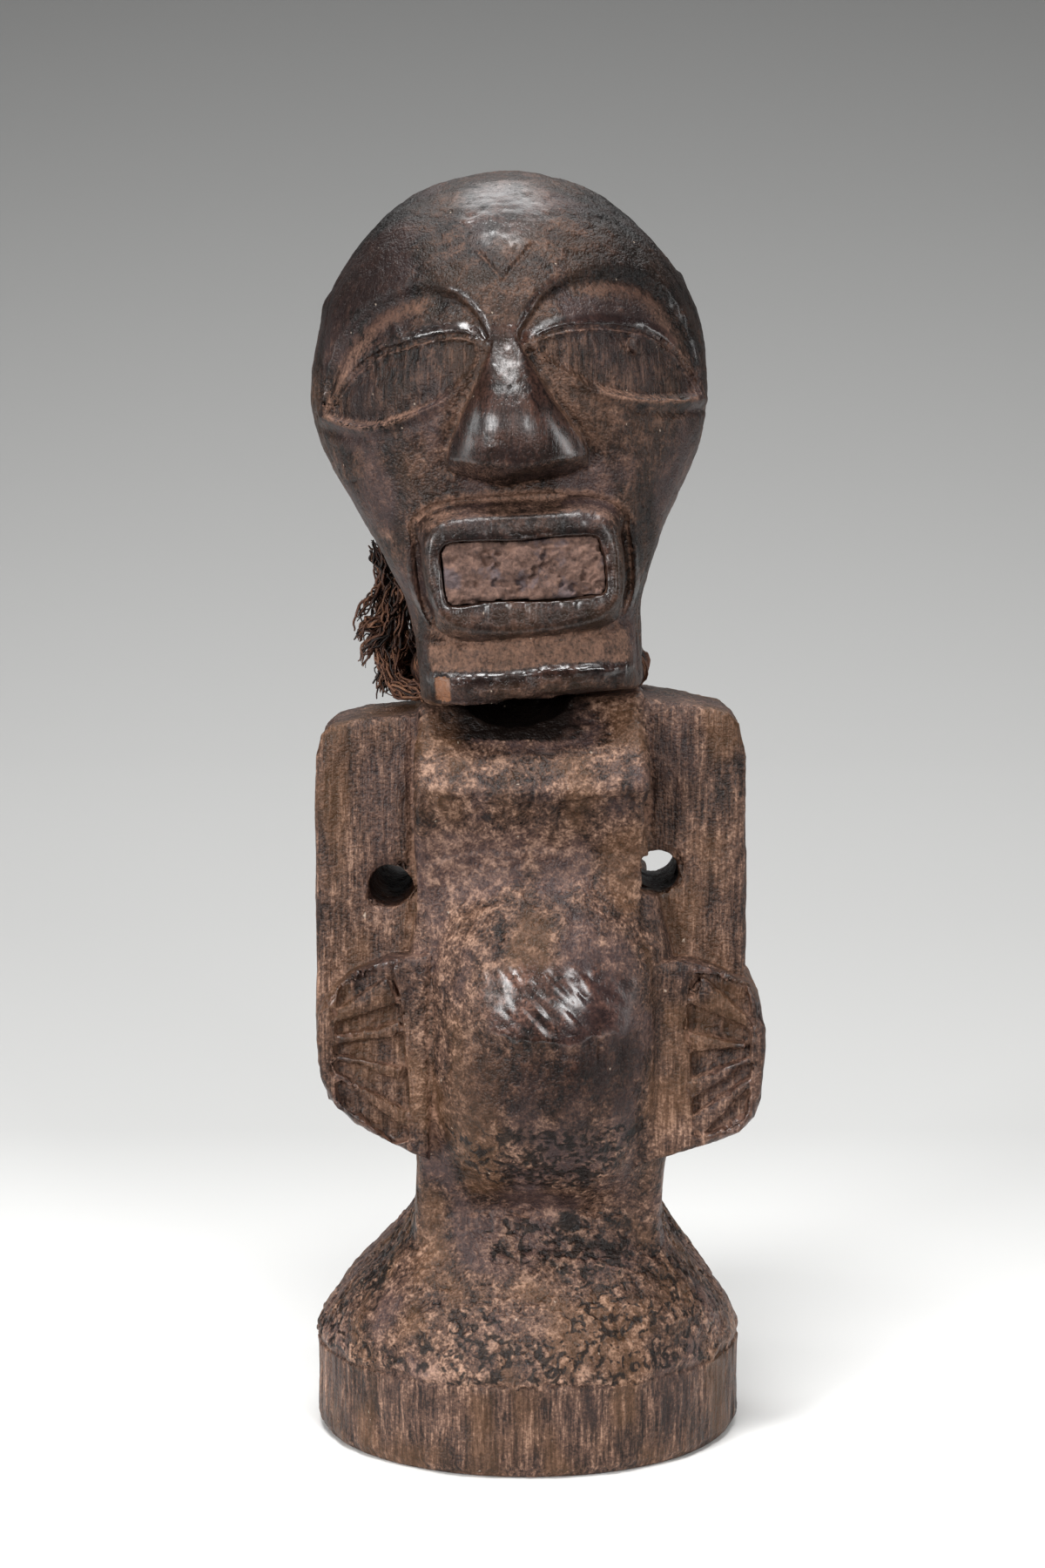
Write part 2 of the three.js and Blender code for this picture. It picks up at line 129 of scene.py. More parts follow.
def outlineDistance(u, v, points):  # distance to a closed outline, less than 0 inside it
    best = np.full(u.shape, 1e9, np.float32)
    inside = np.zeros(u.shape, bool)
    for (au, av), (bu, bv) in zip(points, np.roll(points, -1, axis=0)):
        eu, ev = bu - au, bv - av
        t = np.clip(((u - au) * eu + (v - av) * ev) / (eu * eu + ev * ev + 1e-12), 0, 1)
        best = np.minimum(best, (u - au - eu * t) ** 2 + (v - av - ev * t) ** 2)
        if av != bv:
            inside ^= ((av > v) != (bv > v)) & (u < eu * (v - av) / ev + au)
    return np.where(inside, -1, 1) * np.sqrt(best)


def lineDistance(u, v, points):  # distance to an open line, above it or below it, and how far along it
    points = np.array(points, float)
    lengths = np.hypot(*(points[1:] - points[:-1]).T)
    reach = np.concatenate([[0], np.cumsum(lengths)]) / lengths.sum()
    best = np.full(u.shape, 1e9, np.float32)
    along = np.zeros(u.shape, np.float32)
    above = np.ones(u.shape, np.float32)
    for i, ((au, av), (bu, bv)) in enumerate(zip(points[:-1], points[1:])):
        eu, ev = bu - au, bv - av
        t = np.clip(((u - au) * eu + (v - av) * ev) / (eu * eu + ev * ev), 0, 1)
        du, dv = u - au - eu * t, v - av - ev * t
        far = du**2 + dv**2
        near = far < best
        best = np.where(near, far, best)
        along = np.where(near, reach[i] + (reach[i + 1] - reach[i]) * t, along)
        above = np.where(near, np.where((dv * eu - du * ev) * np.sign(eu) >= 0, 1, -1), above)
    return np.sqrt(best), above, along


# Noise, the same on every run

def hashed(i, j, k, seed):
    n = i * np.uint32(374761393) + j * np.uint32(668265263) + k * np.uint32(2246822519)
    n = n + np.uint32((seed * 3266489917 + 12345) & 0xFFFFFFFF)
    n = (n ^ (n >> np.uint32(13))) * np.uint32(1274126177)
    return ((n ^ (n >> np.uint32(16))) & np.uint32(0xFFFFFF)).astype(np.float32) / 16777216


def noise(x, y, z, seed):  # smooth, between -1 and 1, one lump to each unit
    cell = [np.floor(c) for c in (x, y, z)]
    f = [c - base for c, base in zip((x, y, z), cell)]
    f = [t * t * t * (t * (6 * t - 15) + 10) for t in f]
    i, j, k = [base.astype(np.int32).astype(np.uint32) for base in cell]
    one = np.uint32(1)
    total = 0
    for di, wi in ((np.uint32(0), 1 - f[0]), (one, f[0])):
        for dj, wj in ((np.uint32(0), 1 - f[1]), (one, f[1])):
            for dk, wk in ((np.uint32(0), 1 - f[2]), (one, f[2])):
                total = total + wi * wj * wk * hashed(i + di, j + dj, k + dk, seed)
    return total * 2 - 1


def layered(x, y, z, seed, layers=3):  # noise with finer noise on top
    total, strength, size = 0, 1.0, 1.0
    for layer in range(layers):
        total = total + strength * noise(x * size, y * size, z * size, seed + 17 * layer)
        strength *= 0.5
        size *= 2.03
    return total / (2 - 2 * strength)


def grainAt(place, size, seed, layers=3):  # size of one lump in mm, or its x, y and z; 0 leaves a way out
    sizes = size if isinstance(size, tuple) else (size,) * 3
    return layered(*(c / s if s else 0 * c for c, s in zip(place, sizes)), seed, layers)


def cells(x, y, z, seed):  # nearest and next nearest cell point, and the nearest cell's own number
    base = [np.floor(c) for c in (x, y, z)]
    whole = [b.astype(np.int32) for b in base]
    first = np.full(x.shape, 9, np.float32)
    second = np.full(x.shape, 9, np.float32)
    own = np.zeros(x.shape, np.float32)
    for di in (-1, 0, 1):
        for dj in (-1, 0, 1):
            for dk in (-1, 0, 1):
                i, j, k = [(w + d).astype(np.uint32) for w, d in zip(whole, (di, dj, dk))]
                px, py, pz = [hashed(i, j, k, seed + s) for s in (1, 2, 3)]
                far = np.sqrt((base[0] + di + px - x) ** 2 + (base[1] + dj + py - y) ** 2
                              + (base[2] + dk + pz - z) ** 2)
                closer = far < first
                second = np.where(closer, first, np.minimum(second, far))
                own = np.where(closer, px, own)
                first = np.where(closer, far, first)
    return first, second, own


# The carving: named sizes, the main ones the same as the solids'

chin = 146.0  # height where the head's own measure starts
base = {
    "radius": 41, "foot": 39.8, "footRise": 2.5, "wall": 17.2, "domeTop": 46, "neck": 23.4, "square": 2.6,
    "shoulder": 0.4, "slope": 0.8, "footEdge": 0.8, "topEdge": 1.5,
}
waist = {"x": 2, "half": 23.2, "front": 22, "back": 20.5, "low": 38, "high": 62, "edge": 3.2, "join": 1.2}
torso = {
    "low": 46, "high": 143, "lean": 0.068, "leanFrom": 100,
    "frontEdge": 2.2, "backEdge": 5, "topEdge": 1.2, "join": 1.0,
    "heights": [46, 60, 80, 104, 114, 121, 126.5, 129.5, 136, 143],
    "centre": [2, 2.6, 2.8, 1.2, 0.7, 0.5, 0.5, 0.5, 0.4, 0.3],
    "half": [22.6, 23.6, 24, 22.6, 22, 21.8, 21.8, 21.8, 21.6, 21.2],
    "front": [21.5, 24, 25, 25.5, 27.5, 31, 34, 33, 27.5, 22],
    "back": [21, 25, 24.5, 25, 25, 24.5, 24, 23, 23, 20],
}
belly = {"x": 3.4, "y": -15, "z": 80.5, "rx": 24.6, "ry": 26.6, "rz": 34, "square": 2.9, "join": 4.5}
arm = {"front": -20.5, "back": 11, "edge": 1.7, "join": 0.8}
shoulders = {
    "left": [[-19, 140.6], [-31, 139.2], [-36.6, 137.9], [-38.6, 136.2], [-39.6, 132], [-39.8, 108],
             [-39.7, 74], [-37.8, 67], [-27, 62], [-19, 60]],
    "right": [[20, 143.2], [31, 141.9], [37.4, 140.4], [39.6, 138.2], [41, 132], [40.8, 108],
              [40.8, 74], [38.9, 67], [28, 62], [20, 60]],
}
hand = {
    "front": -29, "back": 11.6, "edge": 1.5, "join": 0.8, "well": 2.4, "wellEdge": 0.7,
    "fingerLow": 0.4, "fingerSwell": 0.5, "fingerEdge": 0.7, "fingerEnd": 0.5, "fingerJoin": 0.45,
}
hands = {
    "left": {
        "block": [[-18, 95.8], [-25.5, 95], [-32.4, 92.3], [-36.4, 89.4], [-38.9, 85], [-39.4, 79.7],
                  [-38.9, 73], [-37.2, 68.8], [-32.2, 64.2], [-28, 61.6], [-21.5, 58.2], [-18, 57]],
        "well": [[-24.6, 92.6], [-29, 93], [-32.4, 91.4], [-35.2, 88.6], [-35.4, 70.8], [-31.8, 66.6],
                 [-22.4, 61.4]],
        "fingers": [[-36, 84.2, 1.2, -25, 89.3, 2.8], [-35.6, 80, 1.1, -23.5, 82.2, 1.5],
                    [-35.8, 76.9, 0.9, -23.5, 73.7, 1.5], [-36, 73.6, 0.9, -22, 64.6, 1.7]],
    },
    "right": {
        "block": [[20, 94.4], [29.6, 94.8], [33.7, 93.6], [41.3, 90.2], [43.4, 87], [44.3, 82], [44.2, 75.5],
                  [43.6, 69], [42.2, 65.4], [39.4, 62.6], [35.2, 60.6], [20, 55.6]],
        "well": [[30.4, 91], [33.8, 92.6], [38.4, 90.8], [41, 88], [40.9, 69], [38.2, 65], [31.5, 63],
                 [30.2, 78]],
        "fingers": [[42.4, 82.4, 1.1, 30.5, 89.6, 3], [40.6, 79, 0.7, 29.5, 79.8, 2.3],
                    [41.4, 76.4, 0.8, 29.5, 70.4, 1.8], [41.6, 72.6, 0.9, 31, 63.4, 2.1]],
    },
}
scoop = {"x": -2.3, "y": -20, "z": 144.2, "rx": 10.3, "ry": 12, "rz": 6.6, "edge": 0.8}
neck = {"x": 0.8, "y": 2, "rx": 14, "ry": 13.5, "low": 136, "high": 184}
# arm holes: radius, place at the front, slant across and up
holes = [(3.9, (-25.9, -20.5, 107.8), (0.05, 0.125)), (3.9, (24.4, -20.5, 110.6), (0, 0))]
holeEdge = 0.5
spine = {"radius": 3.5, "x": 1.4, "y": 26.5, "low": 58, "high": 134, "edge": 1.2}
ring = {
    "x": 0.6, "y": 2, "z": 147.4, "rx": 18.2, "ry": 16.2, "thick": 5.3, "tall": 4.7, "gap": 0.3, "edge": 0.5,
}

skull = {"half": 37.4, "front": 37, "back": 36, "widest": 54, "rise": 40.5, "top": 94.3, "square": 2.2}
jaw = {
    "half": 21.2, "flareFrom": 8, "front": 33, "back": 6, "swellFrom": 34, "nape": 27, "bottom": -2,
    "square": 4.5, "edge": 0.8, "join": 1.5,
}
mouth = {
    "front": -38.4, "floor": -31, "edge": 1.5, "join": 0.6, "holeEdge": 0.7,
    "sideSlope": 0.1, "topSlope": 0.38, "footSlope": 0.3,
    "outer": [[-17.3, 27], [-15.9, 29.6], [-12.6, 31], [-5.9, 31.5], [6.1, 31.5], [12.8, 31], [16.2, 29.5],
              [17.5, 26], [17.6, 19], [16.6, 14.8], [13.4, 12.1], [7.6, 10.8], [0, 10.4], [-7.8, 10.8],
              [-12.9, 12], [-15.9, 14.6], [-17.2, 18.4], [-17.6, 22.8]],
    "inner": [[-13.9, 26.8], [-7, 27.3], [0, 27], [8, 27.5], [13.4, 27.2], [14.4, 25.4], [14.8, 20],
              [14.4, 17], [12, 16.3], [4, 16], [-5, 16.5], [-12, 15.9], [-14.2, 17], [-14.6, 21]],
}
ears = [(-33.4, 5, 66.5), (31.6, 5, 70)]
earShape = {"half": 2.6, "deep": 6, "tall": 6.5, "scale": 3.5, "join": 1.2}

# Face curves in the head's own measure, from the nose outwards: across, then up from the chin
faceCurves = {
    "left": {
        "brow": [[-3.4, 63.6], [-4.1, 65.5], [-5.5, 68.1], [-7.8, 70.8], [-10.7, 72.5], [-14, 73.6],
                 [-18, 73.5], [-21.9, 72.2], [-25.4, 70.5], [-29.6, 66.8], [-32.9, 61.8], [-34.8, 53.3]],
        "lid": [[-4.4, 62.4], [-7.5, 63.7], [-10.4, 64], [-14.7, 63.5], [-19.1, 62.4], [-22.6, 61.6],
                [-26.2, 59.6], [-29.3, 56.9], [-32, 53.7], [-34.3, 50.8]],
        "fold": [[-4.4, 61.2], [-6.7, 58], [-9.6, 55.3], [-12.6, 52.6], [-16.6, 50.8], [-21, 49.3],
                 [-24.5, 48.5], [-27.6, 48.5], [-31.1, 49.3], [-34.5, 50.3]],
    },
    "right": {
        "brow": [[1.2, 62.4], [1.3, 63.7], [2.6, 66.3], [4.6, 69.6], [7, 72.2], [10.9, 74.6], [14.8, 75.8],
                 [19.2, 76.2], [24.1, 75.4], [28.1, 73], [31.6, 69], [34.1, 63], [36, 52.9]],
        "lid": [[4, 62.6], [7.8, 64.1], [11.6, 64.8], [16.5, 65], [20.8, 64.5], [25.2, 63.5], [28.7, 61.5],
                [31.7, 58.5], [33.8, 55], [35.6, 51.8]],
        "fold": [[3.6, 62], [5.3, 61], [8.2, 58.6], [11.9, 56.1], [15.7, 53.8], [20.1, 52.4], [25, 51.5],
                 [30, 51.4], [35.6, 51.4]],
    },
}
noseShape = {  # both sides: up, then across; the foot: across, then up
    "left": [[66.5, -3], [65.5, -3.4], [62.7, -3.2], [56.1, -5.8], [50.1, -8.9], [44, -11.6], [42.1, -12.2],
             [40.6, -12]],
    "right": [[66.5, 1.6], [63.5, 1.7], [61.6, 2.6], [56.7, 5.4], [50.9, 9], [45.5, 12.2], [42.3, 13.7],
              [40.6, 13.4]],
    "foot": [[-12, 40.6], [-11.3, 39.5], [-6.6, 38], [-1.8, 36.7], [4.5, 37.6], [9.8, 38.4], [13.3, 40],
             [13.4, 40.6]],
    "flank": 1.3, "proud": 8.4, "tip": 41.6, "top": 67,
}


def leanCentre(h):
    return 0.6 - 4.1 * ease(h, -6, 62) - 0.6 * ease(h, 60, skull["top"])


def leanSlope(h):
    return 0.07 - 0.035 * ease(h, 4, 52) - 0.035 * ease(h, 52, skull["top"])


def headSpace(x, z):  # world place to the head's own measure
    h = z - chin
    for _ in range(3):
        h = z - chin - (x - leanCentre(h)) * leanSlope(h)
    return x - leanCentre(h), h


def fromHeadSpace(side, h):
    return side + leanCentre(h), chin + h + side * leanSlope(h)


# Relief of the face, worked out once on a fine flat map

class FlatMap:  # values on a flat grid of points 0.2 mm apart, read back smoothly
    def __init__(self, low, high, pitch=0.2):
        self.low, self.pitch = low, pitch
        self.count = [int((b - a) / pitch) + 2 for a, b in zip(low, high)]
        across, up = [a + pitch * np.arange(n) for a, n in zip(low, self.count)]
        self.u, self.v = np.meshgrid(across, up, indexing="ij")

    def read(self, values, u, v):
        i = np.clip((u - self.low[0]) / self.pitch, 0, self.count[0] - 1.001)
        j = np.clip((v - self.low[1]) / self.pitch, 0, self.count[1] - 1.001)
        a, b = i.astype(np.int32), j.astype(np.int32)
        i, j = i - a, j - b
        return ((values[a, b] * (1 - j) + values[a, b + 1] * j) * (1 - i)
                + (values[a + 1, b] * (1 - j) + values[a + 1, b + 1] * j) * i)


reliefLook = {
    "browCut": 1.9, "lidSwell": 1.45, "ballDepth": 1.55, "ballSwell": 0.5, "foldRise": 0.75, "underCut": 0.45,
    "lidGroove": 0.75, "lidRidge": 0.7, "lidChips": 0.75, "markDepth": 0.6, "noseHollow": 0.5,
    "noseSharp": 2.6, "chinCrack": 0.35,
    "browDust": 0.62, "foldDust": 0.66, "lidDust": 0.6, "markDust": 0.5, "noseDust": 0.4, "mouthDust": 0.6,
    "ledgeDust": 0.5, "chinDust": 0.62,
    "lidShineEnds": {"left": (0.3, 0.5), "right": (0.62, 0.8)},
    "nubs": [(23.2, 61.3, 1.8, 2.0, 0, 1.5), (-20.3, 65.2, 0.9, 1.9, 0.35, 0.8)],
    "mark": [((-5.3, 78.9), (-0.8, 73.5)), ((4.8, 80.3), (-0.8, 73.5))],
    "bandHeights": [-6, -2, -1.1, 0.2, 2.9, 3.5, 5, 8, 9.6, 10.6],
    "bandRises": [-0.9, -0.6, 1.5, 2.4, 3.1, 2.6, 2.2, 2.0, 1.2, 0],
    "crackLine": [[-21, 9.4], [-17, 8.9], [-13.6, 9.3], [-10, 8.7]],
}


def faceRelief():
    flat = FlatMap((-42, -6), (42, 98))
    u, h = flat.u.astype(np.float32), flat.v.astype(np.float32)
    look = reliefLook
    rise = np.zeros(u.shape, np.float32)
    polish, dust, rough = np.zeros_like(rise), np.zeros_like(rise), np.zeros_like(rise)
    wobble = layered(u / 3, h / 3, 0 * u, 5, 2)
    for name, curves in faceCurves.items():
        brow, lid, fold = [smoothLine(curves[key]) for key in ("brow", "lid", "fold")]
        dBrow, browAbove, browAlong = lineDistance(u, h, brow)
        dLid, lidAbove, lidAlong = lineDistance(u, h, lid)
        dFold, foldAbove, foldAlong = lineDistance(u, h, fold)
        socket = -outlineDistance(u, h, np.concatenate([brow, fold[::-1]]))
        plate = -outlineDistance(u, h, np.concatenate([brow, lid[::-1]]))
        ball = -outlineDistance(u, h, np.concatenate([lid, fold[::-1]]))
        width = 1.0 + 2.4 * step(browAlong, 0.08, 0.4) - 1.4 * step(browAlong, 0.75, 1)
        toLid = dBrow / (dBrow + dLid + 1e-3)
        lidForm = -look["browCut"] * step(dBrow, -0.35, width) + look["lidSwell"] * step(toLid, 0.15, 0.95)
        rise += np.where(plate > 0, lidForm, 0)
        inner = step(dLid + dFold, 0.6, 4)
        across = dLid / (dLid + dFold + 1e-3)
        ballForm = -look["ballDepth"] + look["ballSwell"] * np.sin(np.pi * across)
        ballForm = ballForm * step(dLid, -0.5, 0.35) * step(dFold, -0.8, 1.3) * inner
        rise += np.where(ball > 0, ballForm, 0)
        strong = step(foldAlong, 0.25, 0.6) * 0.75 + 0.25
        under = np.where(foldAbove < 0, bump(dFold - 0.1, 0.9 + 0.5 * strong), bump(dFold, 0.7))
        rise += np.where((socket < 0.9), look["foldRise"] * strong * under * step(foldAlong, 0, 0.12), 0)
        underFold = (foldAbove < 0) * (h < 60) * bump(dFold - 2.2 - 0.4 * wobble, 0.7)
        rise -= look["underCut"] * strong * underFold
        taper = step(lidAlong, 0, 0.06) * (1 - step(lidAlong, 0.93, 1))
        signed = dLid * lidAbove
        rise -= look["lidGroove"] * bump(signed - 0.15, 0.3) * taper
        rise += look["lidRidge"] * bump(signed + 0.6, 0.36) * taper * (ball > -0.2)
        lidShine = bump(signed - 1.3, 1.1) * step(signed, 0.1, 0.5)
        lidShine *= 1 - step(lidAlong, *look["lidShineEnds"][name])
        browShine = bump(dBrow - 0.1, 0.7) * (1 - step(browAlong, 0.16, 0.34)) * (browAbove > 0)
        polish = np.maximum(polish, np.maximum(lidShine, browShine))
        underBrow = bump(dBrow - width * 1.3, 2.6) * (plate > 0) * step(browAlong, 0.1, 0.4)
        onFold = bump(dFold - 0.2, 1.0) * (0.2 + 0.8 * strong) * (socket < 1.2)
        dust = np.maximum(dust, look["browDust"] * underBrow)
        dust = np.maximum(dust, look["foldDust"] * onFold)
        dust = np.maximum(dust, look["lidDust"] * bump(signed + 0.6, 0.35) * taper)
        rough = np.maximum(rough, (ball > 0.3) * step(dLid, 0.5, 1.5))
    # chips along the left lid, and the nubs on both lids: across, up, half width, half height, slant, rise
    torn = bump(np.hypot((u + 25) / 3.6, (h - 59.4) / 2.2), 1.0) * layered(u / 0.7, h / 1.6, 0 * u, 8, 2)
    rise += look["lidChips"] * torn
    for across, up, wide, tall, slant, height in look["nubs"]:
        off = ((u - across + slant * (h - 65)) / wide) ** 2 + ((h - up) / tall) ** 2
        rise += height * np.sqrt(np.maximum(1 - off, 0))
    # scratched V above the nose
    for line in look["mark"]:
        d, _, t = lineDistance(u, h, line)
        rise -= look["markDepth"] * bump(d, 0.3) * (1 - 0.4 * t)
        dust = np.maximum(dust, look["markDust"] * bump(d, 0.45))
    # nose
    shape = noseShape
    leftEdge = np.interp(h, *np.array(sorted(shape["left"])).T)
    rightEdge = np.interp(h, *np.array(sorted(shape["right"])).T)
    leftSide = [[x, z] for z, x in shape["left"]]
    rightSide = [[x, z] for z, x in shape["right"][::-1]]
    inNose = -outlineDistance(u, h, np.array(leftSide + shape["foot"] + rightSide))
    middle, half = (leftEdge + rightEdge) / 2, np.maximum((rightEdge - leftEdge) / 2, 0.8)
    share = np.clip(np.abs(u - middle) / half, 0, 1)
    proud = shape["proud"] * (1 - ease(h, shape["tip"], shape["top"]))
    flank = shape["flank"] * (1 - step(h, 58, 66.5))
    crest = flank * step(inNose, -0.2, 0.5) + np.maximum(proud - flank, 0) * (1 - share ** look["noseSharp"])
    foot = np.interp(u, *np.array(shape["foot"]).T)
    tip = 40.6 + 1.3 * np.abs(u - 0.6) / 12.6 + 0.15 * wobble
    under = step(h, foot - 0.3, tip)
    crest = np.where(h < tip, 0.9 + np.maximum(crest - 0.9, 0) * under ** 0.9, crest)
    rise = np.where(inNose > 0, crest + rise * 0.15, rise)
    rise -= look["noseHollow"] * bump(inNose + 0.4, 1.4) * (inNose < 0) * (h < 61) * (h > 39)
    dust = np.maximum(dust, look["noseDust"] * bump(inNose + 1.3, 0.9) * (inNose < 0) * (h < 62) * (h > 40))
    polish = np.maximum(polish, step(inNose, 0, 0.8) * (h > tip) * (0.5 + 0.5 * step(share, 0.35, 0.75)))
    dust = np.where(inNose > 0.3, 0, dust)
    # hollow round the mouth, with a ledge above it
    frameEdge = outlineDistance(u, h, smoothLine(mouth["outer"], 4, True))
    frameHole = outlineDistance(u, h, smoothLine(mouth["inner"], 4, True))
    trough = 1.7 + 1.1 * step(h, 27, 31)
    rise -= (1.5 - 0.3 * step(h, 27, 31)) * (1 - step(frameEdge, trough, trough + 1.1)) * (h > 9)
    onLedge = (frameEdge > 0) * (1 - step(frameEdge, 1.5, 3))
    overMouth = np.maximum(look["mouthDust"] * bump(frameEdge - 3.6, 1.6), look["ledgeDust"] * onLedge)
    dust = np.maximum(dust, overMouth * step(h, 26, 31))
    # chin band and its edge
    edgeAt = 3.4 + 0.35 * wobble + 0.3 * np.sin(u / 4.1)
    band = np.interp(h - edgeAt + 3.4, look["bandHeights"], look["bandRises"])
    band += 0.3 * layered(u / 2.4, h / 2.4, 0 * u, 9, 3) * (h < 10)
    rise += band * (1 - step(np.abs(u), 17.5, 20.6))
    polish = np.maximum(polish, bump(h - edgeAt + 0.5, 0.9) + 0.35 * (h < edgeAt) * (h > 0.2))
    dust = np.maximum(dust, look["chinDust"] * step(h, edgeAt, edgeAt + 0.8) * (1 - step(h, 8.8, 11)))
    crack, _, _ = lineDistance(u, h, smoothLine(look["crackLine"]))
    rise -= look["chinCrack"] * bump(crack, 0.2)
    return {"flat": flat, "rise": rise, "polish": polish, "dust": dust, "rough": rough,
            "frameEdge": frameEdge, "frameHole": frameHole, "inNose": inNose}


face = faceRelief()
say("face relief")


def readFace(name, side, h):
    return face["flat"].read(face[name], side, h)


# The form: how far any place is from the wood's surface

def where(mask, form, *places):  # works a form out only where it can matter
    far = np.full(mask.shape, 30, np.float32)
    if mask.any():
        far[mask] = form(*(place[mask] for place in places))
    return far


def baseForm(x, y, z):
    up = ease(z, base["wall"], base["domeTop"])
    corner = 2 + base["square"] * up
    across = (np.abs(x - waist["x"] * up) ** corner + np.abs(y) ** corner) ** (1 / corner)
    radius = base["neck"] + (base["radius"] - base["shoulder"] - base["neck"]) * (1 - up)
    radius = np.where(z < base["wall"], base["radius"], radius)
    radius -= (base["radius"] - base["foot"]) * (1 - step(z, -0.5, base["footRise"]))
    steep = np.where(z < base["wall"], 1, base["slope"])
    out = roundMax((across - radius) * steep, -z, base["footEdge"])
    return roundMax(out, z - base["domeTop"], base["topEdge"])


def waistForm(x, y, z):
    out = roundMax(np.abs(x - waist["x"]) - waist["half"],
                   np.where(y < 0, -y - waist["front"], y - waist["back"]), waist["edge"])
    return np.maximum(out, np.maximum(waist["low"] - z, z - waist["high"]))


torsoCurves = {key: smoothTable(torso["heights"], torso[key]) for key in ("centre", "half", "front", "back")}


def torsoForm(x, y, z):
    z = z - torso["lean"] * x * ease(z, torso["leanFrom"], torso["high"])
    wide = np.abs(x - torsoCurves["centre"](z)) - torsoCurves["half"](z)
    deep = np.where(y < 0, -y - torsoCurves["front"](z), y - torsoCurves["back"](z))
    out = roundMax(wide, deep, np.where(y < 0, torso["frontEdge"], torso["backEdge"]))
    return roundMax(np.maximum(out, torso["low"] - z), z - torso["high"], torso["topEdge"])


def bellyForm(x, y, z):
    p = belly["square"]
    dx, dy, dz = x - belly["x"], y - belly["y"], z - belly["z"]
    flat = (np.abs(dx / belly["rx"]) ** p + np.abs(dz / belly["rz"]) ** p) ** (1 / p)
    size = np.sqrt(flat**2 + (dy / belly["ry"]) ** 2) + 1e-6
    return np.sqrt(dx**2 + dy**2 + dz**2) * (1 - 1 / size) * 0.9


def slabForm(x, y, z, outline, front, back, edge):
    return roundMax(outlineDistance(x, z, np.array(outline)), np.maximum(front - y, y - back), edge)


def fingerForm(x, y, z, finger, front, floor):
    x0, z0, half0, x1, z1, half1 = finger
    length = math.hypot(x1 - x0, z1 - z0)
    ux, uz = (x1 - x0) / length, (z1 - z0) / length
    along = (x - x0) * ux + (z - z0) * uz
    t = np.clip(along / length, 0, 1)
    half = half0 + (half1 - half0) * t
    aside = np.abs((z - z0) * ux - (x - x0) * uz) - half
    ends = np.maximum(-along, along - length)
    swell = hand["fingerSwell"] * (1 - np.clip((aside + half) / half, 0, 1) ** 2)
    deep = np.maximum(front + hand["fingerLow"] - swell - y, y - floor)
    return roundMax(roundMax(aside, ends, hand["fingerEnd"]), deep, hand["fingerEdge"])


def handForm(x, y, z, name):
    look = hands[name]
    floor = hand["front"] + hand["well"]
    palm = slabForm(x, y, z, look["block"], hand["front"], hand["back"], hand["edge"])
    well = roundMax(outlineDistance(x, z, smoothLine(look["well"], 3, True)), y - floor, 0.5)
    out = blendMax(palm, -well, hand["wellEdge"])
    for finger in look["fingers"]:
        out = blendMin(out, fingerForm(x, y, z, finger, hand["front"], floor + 2), hand["fingerJoin"])
    return out


def headHalf(h):
    return jaw["half"] + (skull["half"] - jaw["half"]) * ease(h, jaw["flareFrom"], skull["widest"])


def headFront(h):
    return jaw["front"] + (skull["front"] - jaw["front"]) * ease(h, jaw["swellFrom"], skull["widest"])


def headForm(x, y, z):
    side, h = headSpace(x, z)
    low = np.minimum(h, skull["widest"])
    up = np.maximum(h - skull["widest"], 0) / skull["rise"]
    down = np.maximum(skull["widest"] - h, 0) / (skull["widest"] - jaw["nape"])
    half = headHalf(low)
    squarer = (jaw["square"] - skull["square"]) * (1 - ease(h, 16, 58))
    corner = skull["square"] + np.where(y < 0, squarer, 0)
    front = headFront(low)
    away = np.sqrt(side**2 + y**2 + (up * skull["rise"]) ** 2)
    wide = np.abs(side / half) ** corner

    def through(depth, lift):
        size = (wide + np.abs(y / depth) ** corner) ** (1 / corner)
        return np.sqrt(size**2 + lift**2) + 1e-6

    nape = np.where(h > skull["widest"], skull["back"], jaw["back"])
    size = through(np.where(y < 0, front, nape), up)
    out = away * (1 - 1 / size)
    size = through(np.where(y < 0, front, skull["back"]), np.maximum(up, down))
    whole = np.sqrt(away**2 + (down * (skull["widest"] - jaw["nape"])) ** 2)
    out = blendMin(out, whole * (1 - 1 / size), jaw["join"])
    out = out - readFace("rise", side, h) * step(-y, 2, 9)
    out = roundMax(out, jaw["bottom"] - h, jaw["edge"])
    for ex, ey, eh in ears:
        size = np.sqrt(((side - ex) / earShape["half"]) ** 2 + ((y - ey) / earShape["deep"]) ** 2
                       + ((h - eh) / earShape["tall"]) ** 2)
        out = blendMin(out, earShape["scale"] * (size - 1), earShape["join"])
    # mouth: a block with sloping sides, hollowed out
    near = y < -22
    edge = readFace("frameEdge", side, h)
    slope = np.where(h > 21, mouth["topSlope"] * step(h, 26, 31), mouth["footSlope"] * (1 - step(h, 11, 16)))
    slope = mouth["sideSlope"] + slope
    block = roundMax(edge - slope * np.minimum(y - mouth["front"], 6), mouth["front"] - y, mouth["edge"])
    out = np.where(near, blendMin(out, block, mouth["join"]), out)
    hollow = np.maximum(readFace("frameHole", side, h), y - mouth["floor"])
    return np.where(near, blendMax(out, -hollow, mouth["holeEdge"]), out)


